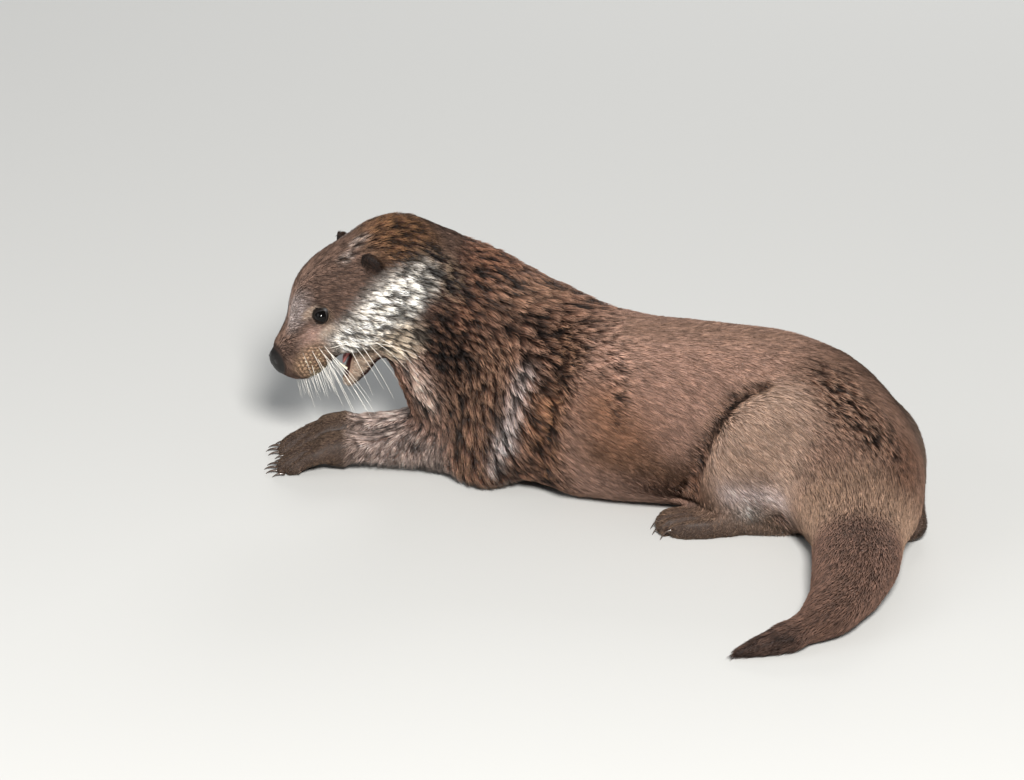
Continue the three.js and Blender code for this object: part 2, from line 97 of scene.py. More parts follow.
def paint(code: int) -> np.ndarray:
    """Turn a colour written as 0xrrggbb into linear red, green and blue.

    Args:
        code: The colour as it is seen, eight bits for each channel.

    Returns:
        Three linear values from 0 to 1.
    """
    seen = np.array([(code >> 16) & 255, (code >> 8) & 255, code & 255]) / 255.0
    return np.where(seen <= 0.04045, seen / 12.92, ((seen + 0.055) / 1.055) ** 2.4)


def unit(vectors: np.ndarray) -> np.ndarray:
    """Scale each row to a length of one.

    Args:
        vectors: Rows of x, y and z.

    Returns:
        Rows of the same directions.
    """
    return vectors / np.maximum(np.linalg.norm(vectors, axis=1, keepdims=True), 1e-12)


def mix(first: np.ndarray, second: np.ndarray, share: np.ndarray) -> np.ndarray:
    """Blend two sets of rows.

    Args:
        first: Rows used where the share is 0.
        second: Rows used where the share is 1.
        share: One value for each row.

    Returns:
        The blended rows.
    """
    return first + (second - first) * share[:, None]


def bell(distance: np.ndarray, steepness: float = 1.2) -> np.ndarray:
    """Fall off smoothly from 1 at no distance to about 0 beyond 2."""
    return np.exp(-(distance**2) * steepness)


def folded(local: np.ndarray) -> np.ndarray:
    """Fold places in the head's axes onto its left side."""
    return np.column_stack([local[:, 0], np.abs(local[:, 1]), local[:, 2]])


def along_line(
    places: np.ndarray, start: np.ndarray, end: np.ndarray
) -> tuple[np.ndarray, np.ndarray]:
    """Measure places against a straight line.

    Args:
        places: Rows of x, y and z.
        start: The line's start.
        end: The line's end.

    Returns:
        How far along the line each place is, from 0 to 1, and its distance from the line.
    """
    way = end - start
    share = np.clip((places - start) @ way / (way @ way), 0, 1)
    return share, np.linalg.norm(places - start - share[:, None] * way, axis=1)


def linked(name: str, mesh: bpy.types.Mesh) -> bpy.types.Object:
    """Put a mesh in the scene as an object.

    Args:
        name: The piece's name.
        mesh: Its mesh, in place.

    Returns:
        The new object, at the origin.
    """
    made = bpy.data.objects.new(name, mesh)
    bpy.context.scene.collection.objects.link(made)
    return made


def dress(piece: bpy.types.Object, material: bpy.types.Material, slot: str, *nodes: str) -> None:
    """Give a piece its finish, its body and the nodes that it stands for.

    Args:
        piece: The finished object.
        material: The finish.
        slot: A material slot's name; not used.
        nodes: The solids that the piece replaces.
    """
    piece.data.materials.clear()
    piece.data.materials.append(material)
    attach(piece, BODY)
    if nodes:
        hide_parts(*nodes)
    log.info("%s: %d faces", piece.name, len(piece.data.polygons))


def move_corners(mesh: bpy.types.Mesh, places: np.ndarray) -> None:
    """Put a mesh's vertices at new places."""
    mesh.vertices.foreach_set("co", places.ravel())
    mesh.update()


def shade_smooth(mesh: bpy.types.Mesh) -> None:
    """Shade all of a mesh's faces smoothly."""
    mesh.polygons.foreach_set("use_smooth", [True] * len(mesh.polygons))


def from_bmesh(name: str, shape: bmesh.types.BMesh) -> bpy.types.Object:
    """Finish a bmesh as an object.

    Args:
        name: The piece's name.
        shape: The bmesh, which is freed.

    Returns:
        The new object.
    """
    bmesh.ops.recalc_face_normals(shape, faces=shape.faces)
    mesh = bpy.data.meshes.new(name)
    shape.to_mesh(mesh)
    shape.free()
    shade_smooth(mesh)
    return linked(name, mesh)


def merged_copy(name: str) -> bmesh.types.BMesh:
    """Copy a solid, with the corners of its loose triangles joined.

    Args:
        name: The solid's name.

    Returns:
        The copy, to be freed by the caller.
    """
    copy = bmesh.new()
    copy.from_mesh(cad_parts[name].data)
    bmesh.ops.remove_doubles(copy, verts=copy.verts, dist=MERGE_WITHIN * MM)
    return copy


def even_cells(rough: bpy.types.Object, cell: float, easing: int = 0) -> bpy.types.Mesh:
    """Rebuild a closed shape from even cells.

    Args:
        rough: The shape's object, which is removed.
        cell: The edge of a cell, in mm.
        easing: How many times the new shape is smoothed.

    Returns:
        The new mesh.
    """
    remesh = rough.modifiers.new("cells", "REMESH")
    remesh.mode = "VOXEL"
    remesh.voxel_size = cell * MM
    if easing:
        ease = rough.modifiers.new("ease", "SMOOTH")
        ease.factor, ease.iterations = 0.6, easing
    graph = bpy.context.evaluated_depsgraph_get()
    mesh = bpy.data.meshes.new_from_object(rough.evaluated_get(graph))
    bpy.data.objects.remove(rough)
    return mesh


def rows_of(items: object, key: str, each: int, kind: type = np.float32) -> np.ndarray:
    """Read one property of many items.

    Args:
        items: A collection of a mesh, such as its vertices.
        key: The property's name.
        each: How many numbers it has.
        kind: The numbers' type.

    Returns:
        A row for each item.
    """
    values = np.empty(len(items) * each, kind)
    items.foreach_get(key, values)
    return values.reshape(-1, each)


def corners_of(mesh: bpy.types.Mesh) -> np.ndarray:
    """Read where a mesh's vertices are, as rows of x, y and z."""
    return rows_of(mesh.vertices, "co", 3, np.float64)


def normals_of(mesh: bpy.types.Mesh) -> np.ndarray:
    """Read which way a mesh's vertices face, as rows of unit directions."""
    return rows_of(mesh.vertex_normals, "vector", 3).astype(np.float64)


def triangles_of(mesh: bpy.types.Mesh) -> tuple[np.ndarray, np.ndarray, np.ndarray]:
    """Read a mesh's triangles.

    Args:
        mesh: The mesh.

    Returns:
        Rows of three vertex numbers, the places of the first, second and third corners as three
        sets of rows, and the areas.
    """
    mesh.calc_loop_triangles()
    threes = rows_of(mesh.loop_triangles, "vertices", 3, np.int32)
    a, b, c = corners = np.moveaxis(corners_of(mesh)[threes], 1, 0)
    return threes, corners, np.linalg.norm(np.cross(b - a, c - a), axis=1) / 2


def scattered(rng: np.random.Generator, count: int) -> tuple[np.ndarray, np.ndarray]:
    """Pick even chances over triangles.

    Args:
        rng: The seeded source of chance.
        count: How many.

    Returns:
        The weights of each triangle's second and third corners.
    """
    u, v = rng.random(count), rng.random(count)
    over = u + v > 1
    u[over], v[over] = 1 - u[over], 1 - v[over]
    return u, v


def plain(name: str) -> str:
    """Drop the side from a solid's name."""
    return name.replace("_left", "").replace("_right", "")


def node_middle(name: str) -> np.ndarray:
    """Give the middle of a solid's box."""
    low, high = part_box(name)
    return np.array((low + high) / 2)


# ---- the head's own axes ----


@dataclass(frozen=True)
class HeadFrame:
    """The head's axes, forward, left and up, from the middle of the skull, with lengths in mm.

    Attributes:
        turn, nod, tilt: How the solids' head is turned, nodded and tilted, in degrees.
        eye: The left eye's middle, which the skull's place is found from.
    """

    turn: float = 21.0
    nod: float = 40.0
    tilt: float = 10.0
    eye: tuple[float, float, float] = (50.5, 25.5, 7.0)

    def axes(self) -> np.ndarray:
        """Work out which way the head faces.

        Returns:
            The forward, left and up directions as the columns of a matrix.
        """
        basis = Matrix(((-1, 0, 0), (0, -1, 0), (0, 0, 1)))
        turned = Matrix.Rotation(math.radians(self.turn), 3, "Z") @ basis
        nodded = turned @ Matrix.Rotation(math.radians(self.nod), 3, "Y")
        return np.array(nodded @ Matrix.Rotation(math.radians(self.tilt), 3, "X"))

    def origin(self) -> np.ndarray:
        """Give the middle of the skull, in metres."""
        between = (node_middle("eye_left") + node_middle("eye_right")) / 2
        return between - self.axes() @ np.array([self.eye[0], 0.0, self.eye[2]]) * MM

    def inside(self, places: np.ndarray) -> np.ndarray:
        """Turn places in the model into the head's own, in mm.

        Args:
            places: Rows of x, y and z in metres.

        Returns:
            Rows of forward, left and up.
        """
        return (places - self.origin()) @ self.axes() / MM

    def outside(self, places: np.ndarray) -> np.ndarray:
        """Turn the head's own places into the model's, in metres.

        Args:
            places: Rows of forward, left and up, in mm.

        Returns:
            Rows of x, y and z.
        """
        return np.asarray(places, float) @ self.axes().T * MM + self.origin()

    def matrix(self) -> Matrix:
        """Give the move from the head's own millimetres to the model's metres."""
        turned = Matrix(self.axes().tolist()).to_4x4()
        return Matrix.Translation(Vector(self.origin())) @ turned @ Matrix.Scale(MM, 4)


HEAD = HeadFrame()


@dataclass(frozen=True)
class Spot:
    """A soft oval place on the head, the same on both sides.

    Attributes:
        at: Forward, sideways and up, in mm.
        radii: Its half sizes, in mm.
        fullness, fall: Its level at the middle, and how fast that falls outwards.
    """

    at: tuple[float, float, float]
    radii: tuple[float, float, float]
    fullness: float = 1.6
    fall: float = 1.1

    def share(self, local: np.ndarray) -> np.ndarray:
        """Say how much each place belongs to the spot.

        Args:
            local: Rows of forward, left and up.

        Returns:
            A value from 0 to 1 for each row.
        """
        level = np.clip(self.fullness - self.away(local) * self.fall, 0.0, 1.0)
        return level**2 * (3 - 2 * level)

    def away(self, local: np.ndarray) -> np.ndarray:
        """Measure how many times its radii each place is from the middle of the spot."""
        return np.linalg.norm((folded(local) - self.at) / self.radii, axis=1)


# ---- the coat's recipes ----


@dataclass(frozen=True)
class Growth:
    """How hair grows at a place. Lengths are in mm.

    Attributes:
        length: From root to tip.
        width: Of a tuft at its root.
        rise: How far the tip stands over the skin.
        density: Tufts on a square centimetre.
        clump: How far the tips draw together, 0 to 1.
        cell: The size of a clump.
        shag: How wavy and deep the locks are, 0 to 1.
    """

    length: float
    width: float
    rise: float
    density: float
    clump: float
    cell: float
    shag: float = 0.0

    def row(self) -> np.ndarray:
        """Give the values in their order."""
        return np.array(astuple(self))


@dataclass(frozen=True)
class Tint:
    """The colours of the hair at a place.

    Attributes:
        root, middle, tip: The colours along a hair, from dark to light.
        wet: How wet it is, 0 to 1.
    """

    root: int
    middle: int
    tip: int
    wet: float = 0.0

    def row(self) -> np.ndarray:
        """Give root, middle and tip as linear colours, then the wet, in one row."""
        return np.concatenate([paint(self.root), paint(self.middle), paint(self.tip), [self.wet]])


SLEEK = Growth(9.5, 0.6, 2.3, 84, 0.17, 3.5)
RUFFLED = Growth(15, 1.4, 5.2, 42, 0.8, 6, 1.0)
FINE = Growth(6.5, 0.5, 1.6, 140, 0.3, 3.5)
TAIL_HAIR = Growth(9, 0.62, 2.3, 80, 0.2, 3.5)
TOE_HAIR = Growth(2.8, 0.45, 0.6, 120, 0.2, 3)
GAPPED = Growth(14, 1.6, 4.4, 34, 0.9, 7, 0.5)
BARE = Growth(1, 0.3, 0.3, 0, 0, 3)
SPIKY = Growth(9, 1.0, 8.5, 62, 0.95, 4.5, 0.3)
SHAGGY = Growth(17, 1.7, 6.5, 38, 0.9, 7, 1.0)
TUFTED = Growth(7, 0.8, 2.2, 90, 0.8, 4, 0.2)

CROWN = Tint(0x20150F, 0x4B372F, 0x7F6659)
PAW_TINT = Tint(0x120B08, 0x46332A, 0x88715F, 0.35)
TAIL_TINT = Tint(0x180F0B, 0x4A342A, 0x775B4E)
MOUTH_TINT = Tint(0x1A0807, 0x3A1714, 0x3A1714, 0.8)
NOSE_TINT = Tint(0x0A0605, 0x14100D, 0x14100D, 0.4)
CREAM = Tint(0x5A4A3E, 0xEFE9DE, 0xFFFFFD)
# Damp hair on the crown whose pale grey tips are painted glints.
DAMP_BROW_PAINTED_GLINT = Tint(0x241812, 0x66544A, 0x9C8E86, 0.5)
# Wet hair whose near-white tips are painted glints of light on the wet shoulder and arm.
WET_AND_PAINTED_GLINT = Tint(0x2A1A14, 0x9A8C88, 0xE0DCDC, 1.0)
# Clumped hair with near-black roots and dark middles: partly the coat's own dark roots, partly
# painted shade in the creases and clefts it is laid on.
DARK_CLUMPS_AND_CREASE_SHADE = Tint(0x060301, 0x28160C, 0x735236)

COAT_BY_PART: dict[str, tuple[Growth, Tint]] = {
    "head": (FINE, CROWN),
    "lower_jaw": (Growth(4.5, 0.55, 1.1, 120, 0.3, 3.5), Tint(0x5A4436, 0xAC9482, 0xD6C6B4)),
    "nose": (BARE, NOSE_TINT),
    "ear": (Growth(3.6, 0.5, 0.8, 130, 0.2, 3), Tint(0x080403, 0x180D09, 0x3C2A20)),
    "neck": (Growth(11, 0.95, 4.2, 58, 0.85, 5.0, 0.8), Tint(0x130906, 0x4F3023, 0xA0785F, 0.1)),
    "chest": (Growth(14, 1.2, 4.4, 46, 0.75, 6.5, 0.9), Tint(0x0C0604, 0x482F24, 0x9A7966, 0.1)),
    "loin": (SLEEK, Tint(0x4D352A, 0x8A6A5C, 0xBC9988)),
    "rump": (SLEEK, Tint(0x2A1A13, 0x614639, 0x8E7060)),
    "upper_arm": (Growth(12, 1.1, 3.6, 48, 0.7, 6, 0.5), Tint(0x1A0E0A, 0x5C3F31, 0xA08069, 0.4)),
    # The forearm's very pale tips are partly painted highlights of wet hair.
    "forearm": (Growth(8, 0.8, 2.0, 70, 0.6, 4.5), Tint(0x221814, 0x876C61, 0xD8C2B8, 0.6)),
    "forepaw": (TOE_HAIR, PAW_TINT),
    "hind_leg": (SLEEK, Tint(0x55402F, 0x8F7466, 0xBBA08F)),
    "hind_foot": (TOE_HAIR, PAW_TINT),
    "tail_root": (SLEEK, Tint(0x2A1B15, 0x705548, 0xA38772)),
    "tail_middle": (TAIL_HAIR, TAIL_TINT),
    "tail_end": (TAIL_HAIR, TAIL_TINT),
    "tail_tip": (Growth(8, 0.7, 2.0, 70, 0.4, 5), Tint(0x120B09, 0x33231E, 0x58443B)),
}

PAD = Spot((80, 24, -13), (16, 12, 12))

# Places on the head whose coat differs, each laid over the ones before it.
HEAD_COAT: list[tuple[Spot, Growth, Tint]] = [
    (Spot((-34, 20, 10), (26, 34, 30)), Growth(9, 0.9, 2.6, 80, 0.6, 4.5, 0.3),
     Tint(0x100704, 0x482C20, 0x96704F)),
    (Spot((-34, 42, -24), (18, 22, 26)), Growth(11, 1.2, 4.0, 56, 0.9, 5, 0.6),
     Tint(0x0A0504, 0x281710, 0xA08A74)),
    (Spot((6, 38, -17), (36, 24, 19)), Growth(12, 1.15, 3.2, 62, 0.85, 5.0, 1.0), CREAM),
    (Spot((38, 34, -17), (28, 18, 15)), Growth(8, 0.85, 2.2, 90, 0.8, 4, 0.6), CREAM),
    (Spot((28, 34, -44), (30, 24, 15)), Growth(10, 1.0, 2.6, 70, 0.85, 5, 0.9),
     Tint(0x32221A, 0xAC9C88, 0xD2C6B6)),
    # The bridge of the muzzle: grey tips that are partly painted sheen.
    (Spot((56, 11, 19), (26, 10, 10)), Growth(4, 0.42, 1.0, 170, 0.2, 3),
     Tint(0x40342F, 0x83746F, 0xAEA29E, 0.2)),
    (Spot((64, 20, -1), (17, 10, 9)), Growth(3.4, 0.45, 1.0, 170, 0.25, 2.5),
     Tint(0x5A3D31, 0xA3857A, 0xC4AA9D)),
    (Spot((54, 21, 15), (10, 6, 3.4)), Growth(3, 0.45, 1.1, 170, 0.2, 2.5),
     Tint(0x5A463A, 0x9C8878, 0xBFAE9E)),
    (Spot((55, 30, -3), (10, 6, 4)), Growth(3, 0.45, 1.0, 170, 0.2, 2.5),
     Tint(0x6A5548, 0xAE9D8F, 0xD8CCBE)),
    (PAD, Growth(1.7, 0.5, 1.1, 260, 0.1, 3.0), Tint(0x2E1D13, 0x80624E, 0xCAA98A)),
    (Spot((86, 18, -26), (13, 12, 5)), Growth(3.0, 0.5, 1.2, 150, 0.3, 3),
     Tint(0x5A4230, 0xC7AF8C, 0xE6D6BA)),
    (Spot((51, 27, 7), (8.5, 7, 7.5)), Growth(2.6, 0.4, 0.8, 200, 0.15, 2),
     Tint(0x1E1410, 0x54423A, 0x87725F)),
    (Spot((-1, 49, 16), (6, 4, 8)), Growth(2.6, 0.5, 0.6, 120, 0.2, 2),
     Tint(0x0A0505, 0x1C110D, 0x33221B)),
    (Spot((-10, 56, 22), (3.4, 3.4, 6.5)), Growth(3.4, 0.45, 1.0, 150, 0.3, 3),
     Tint(0x1C110C, 0x5E463A, 0x937663)),
    # Painted glints on the damp crown.
    (Spot((-8, 14, 28), (9, 6, 6)), TUFTED, DAMP_BROW_PAINTED_GLINT),
    (Spot((8, 21, 28), (7, 5, 6)), TUFTED, DAMP_BROW_PAINTED_GLINT),
]


@dataclass(frozen=True)
class Mark:
    """A place on the body that differs from the parts round it.

    Attributes:
        node: The solid that it is measured from.
        path: The points of its line, in mm from the middle of that solid's box.
        reach: How far it spreads from the line, in mm.
        growth, tint: Its own hair, where it has one.
        out: How far it lifts the skin, or presses it in below zero.
    """

    node: str
    path: tuple[tuple[float, float, float], ...]
    reach: float
    growth: Growth | None = None
    tint: Tint | None = None
    out: float = 0.0

    def share(self, places: np.ndarray) -> np.ndarray:
        """Say how much each place belongs to the mark.

        Args:
            places: Rows of x, y and z in metres.

        Returns:
            A value from 0 to 1 for each row.
        """
        stops = np.array(self.path, float) * MM + node_middle(self.node)
        nearest = np.linalg.norm(places - stops[0], axis=1)
        for start, end in zip(stops[:-1], stops[1:]):
            nearest = np.minimum(nearest, along_line(places, start, end)[1])
        return bell(nearest / (self.reach * MM))


# Creases, streaks and shades of the body, painted shade and painted highlights among them, each laid
# over the ones before it.
MARKS: list[Mark] = [
    # The light brown behind the arm, the dark clefts after it, darkened as painted shade, and the
    # wet streak on the shoulder, whose near-white tips are a painted glint.
    Mark("chest", ((14, -80, 6), (10, -80, -25)), 14,
         GAPPED, Tint(0x2C1A10, 0x7C543E, 0xAD8262)),
    # Painted shade: the dark clefts behind the arm, which are also pressed in.
    Mark("chest",
         ((24, -42, 51), (31, -67, 37), (24, -82, 12), (17, -83, -17), (15, -67, -52)), 11,
         GAPPED, DARK_CLUMPS_AND_CREASE_SHADE, -4.2),
    Mark("chest", ((42, -64, 44), (44, -76, 18)), 7,
         GAPPED, DARK_CLUMPS_AND_CREASE_SHADE, -1.5),
    # Painted glint: near-white tips of the wet streak on the shoulder and, below, on the arm.
    Mark("chest", ((0, -61, 24), (-6, -65, 0), (-16, -62, -30)), 9,
         None, WET_AND_PAINTED_GLINT),
    Mark("upper_arm_left", ((-9, -34, -14), (-14, -28, -39)), 7,
         None, WET_AND_PAINTED_GLINT),
    # The dark spikes behind the cheek, the pale locks of the throat, whose near-white tips are
    # partly painted sheen, and the back of the neck, whose lighter tips are painted sheen.
    Mark("neck", ((-2, -58, -9), (16, -54, -28)), 27,
         SPIKY, Tint(0x030201, 0x0D0604, 0x50392C, 0.1)),
    # The throat's pale locks: near-white tips, partly painted sheen.
    Mark("neck", ((-27, -41, -28), (-14, -40, -50)), 15,
         SHAGGY, Tint(0x1C110C, 0x846C60, 0xE2D2C8, 0.6)),
    # The back of the neck: lighter tips of painted sheen.
    Mark("chest", ((7, 4, 68), (-14, -10, 66)), 20,
         RUFFLED, Tint(0x271710, 0x664A3B, 0xA98871, 0.3)),
    # The thigh: its bulge, paler partly as painted light, the cleft in front of it, darkened as
    # painted shade, and low down a painted wet highlight and a gap darkened as painted shade.
    # The thigh's bulge: partly its own paler hair, partly painted light where it stands out.
    Mark("hind_leg_left", ((2, -31, 32), (10, -34, 0)), 34,
         None, Tint(0x5A4434, 0x9A7D6E, 0xC2A896), 2.5),
    # Painted shade: the cleft in front of the thigh, which is also pressed in.
    Mark("hind_leg_left",
         ((-6, -2, 56), (-25, -5, 47), (-40, -12, 29), (-51, -10, 4), (-58, 3, -26)), 9,
         GAPPED, DARK_CLUMPS_AND_CREASE_SHADE, -5.0),
    # Painted highlight: the pale wet shine low on the thigh.
    Mark("hind_leg_left", ((-16, -29, -31),), 12,
         None, Tint(0x4A3A32, 0xB0A096, 0xE6DED8, 1.0)),
    # Painted shade: the dark gap between the thigh, the hock and the tail, also pressed in.
    Mark("hind_leg_left", ((10, -34, -38),), 8,
         GAPPED, Tint(0x120A07, 0x33211A, 0x5A4336, 0.6), -3.0),
    # The gapped hair over the rump and in front of the loin, a warmer brown on the flank, painted
    # shade low on the flank and on the top of the back, a darker place on the rump by the tail, and
    # painted sheen on the lower thigh.
    Mark("rump", ((-16, -15, 51), (2, -43, 37), (24, -66, 21)), 22,
         GAPPED, Tint(0x0E0705, 0x4C3529, 0x8E7260)),
    Mark("loin", ((-72, 0, 64), (-66, -40, 50), (-64, -58, 20)), 14,
         Growth(12, 1.3, 3.8, 46, 0.8, 6, 0.3)),
    # Painted shade: the low flank darkened towards the floor.
    Mark("loin", ((-78, -60, -12), (-51, -67, -19), (-15, -72, -34), (20, -72, -38)), 22,
         None, Tint(0x2A1910, 0x5F4334, 0x866754)),
    Mark("loin", ((-76, -58, 22), (-58, -66, 2)), 26,
         None, Tint(0x3A2116, 0x75523F, 0xA0785F)),
    # Painted shade: the top of the back darkened.
    Mark("loin", ((-60, -4, 66), (0, -8, 68), (60, -20, 66)), 30,
         None, Tint(0x3E281F, 0x73584B, 0x9E806F)),
    Mark("rump", ((43, -82, 3), (44, -62, 16)), 24,
         None, Tint(0x1A100B, 0x453026, 0x6E5040)),
    # Painted sheen: the lower thigh made paler.
    Mark("hind_leg_left", ((-30, -29, -19), (-5, -39, -17), (14, -38, -18)), 12,
         None, Tint(0x534038, 0xBAA199, 0xEEDBD6, 0.4)),
]
SPOTTED_PARTS = ("head", "neck", "ear_left", "ear_right")
NO_HAIR_NEAR_EYE = 5.6
BARE_NOSE = Spot((98.5, 0.0, -2.0), (15.5, 15.0, 10.8))

# ---- toes ----


@dataclass(frozen=True)
class Toes:
    """The five toes of one foot.

    Attributes:
        node: The foot's solid.
        ball: Where they start, in mm from the middle of the solid's box.
        heading: The way they point, in degrees from +X towards +Y.
        length: Of the middle toe.
        spread: How far the outer toes turn out, in degrees.
        thickness: Of each toe.
        drop: How far they come down to the floor.
        web: The half width of the web between two toes, in mm.
        round_up, groove: How far their backs stand out and the grooves sink, in mm.
    """

    node: str
    ball: tuple[float, float, float]
    heading: float
    length: float
    spread: float
    thickness: float
    drop: float
    web: float = 2.6
    round_up: float = 1.5
    groove: float = 4.6

    def axes(self) -> list[np.ndarray]:
        """Lay out the five toes.

        Returns:
            Each toe's root, middle and tip, as rows in metres.
        """
        turn = math.radians(self.heading)
        found = []
        for share in (-1.0, -0.5, 0.0, 0.5, 1.0):
            out = turn + math.radians(self.spread) * share
            reach = self.length * (1 - 0.16 * share * share)
            side = self.thickness * 1.5 * share
            root = np.array(self.ball) + np.array([-math.sin(turn), math.cos(turn), 0]) * side
            way = np.array([math.cos(out), math.sin(out), 0]) * reach
            fall = np.array([0, 0, -self.drop])
            found.append(np.array([root, root + way / 2 + fall * 0.3, root + way + fall]) * MM)
        return [toe + node_middle(self.node) for toe in found]

    def nearest(self, places: np.ndarray) -> tuple[np.ndarray, np.ndarray, np.ndarray]:
        """Measure how far each place is from the toes.

        Args:
            places: Rows of x, y and z in metres.

        Returns:
            The distances to the nearest toe and to the next, and how far along the nearest it is.
        """
        away, along = [], []
        for root, middle, tip in self.axes():
            best, best_share = np.full(len(places), FAR_AWAY), np.zeros(len(places))
            for start, end, offset in ((root, middle, 0.0), (middle, tip, 0.5)):
                share, distance = along_line(places, start, end)
                closer = distance < best
                best[closer], best_share[closer] = distance[closer], (offset + share / 2)[closer]
            away.append(best)
            along.append(best_share)
        away, along = np.array(away), np.array(along)
        order = np.argsort(away, axis=0)
        index = np.arange(len(places))
        return away[order[0], index], away[order[1], index], along[order[0], index]

    def lift(self, places: np.ndarray) -> np.ndarray:
        """Press grooves between the toes and raise their backs.

        Args:
            places: Rows of x, y and z in metres.

        Returns:
            How far the skin moves out, in mm.
        """
        first, second, along = self.nearest(places)
        between = (second - first) / MM
        near = np.clip((16 * MM - first) / (6 * MM), 0, 1) * np.clip((along - 0.02) / 0.3, 0, 1)
        return near * (self.round_up - self.groove * np.exp(-((between / self.web) ** 2)))


TOES = [
    Toes("forepaw_left", (12, -1, 1.5), 179, 40, 11, 5.8, 18.5),
    Toes("forepaw_right", (12, 1, 1.5), 181, 40, 11, 5.8, 18.5),
    Toes("hind_foot_left", (-8, -3, -7), 175, 46, 15, 6.8, 2.5),
    Toes("hind_foot_right", (1, 7, -7), 98, 46, 15, 6.8, 2.5),
]


# ---- the skin ----


class Neighbours:
    """The vertices beside each vertex of a mesh, for easing values over its surface."""

    def __init__(self, mesh: bpy.types.Mesh) -> None:
        """Sort a mesh's edges by vertex.

        Args:
            mesh: The mesh.
        """
        ends = rows_of(mesh.edges, "vertices", 2, np.int32)
        both = np.concatenate([ends, ends[:, ::-1]])
        both = both[np.argsort(both[:, 0], kind="stable")]
        self.beside = both[:, 1]
        self.start = np.searchsorted(both[:, 0], np.arange(len(mesh.vertices)))
        self.count = np.bincount(both[:, 0], minlength=len(mesh.vertices))[:, None]

    def mean(self, values: np.ndarray) -> np.ndarray:
        """Average each vertex's neighbours.

        Args:
            values: A row for each vertex.

        Returns:
            Rows of averages.
        """
        return np.add.reduceat(values[self.beside], self.start, axis=0) / self.count

    def eased(self, values: np.ndarray, rounds: int) -> np.ndarray:
        """Spread values over the surface.

        Args:
            values: A row for each vertex.
            rounds: How many times they are averaged.

        Returns:
            The spread rows.
        """
        for _ in range(rounds):
            values = EASE_KEPT * values + EASE_TAKEN * self.mean(values)
        return values


@dataclass(frozen=True)
class Dab:
    """A push on the head's skin, the same on both sides.

    Attributes:
        at: Its middle, in the head's mm.
        reach: How far it reaches.
        out: How far it lifts the skin along its normal, or presses it in below zero.
    """

    at: tuple[float, float, float]
    reach: float
    out: float

    def lift(self, local: np.ndarray) -> np.ndarray:
        """Say how far each place moves out, in mm, from its rows in the head's axes."""
        return bell(np.linalg.norm(folded(local) - self.at, axis=1) / self.reach) * self.out


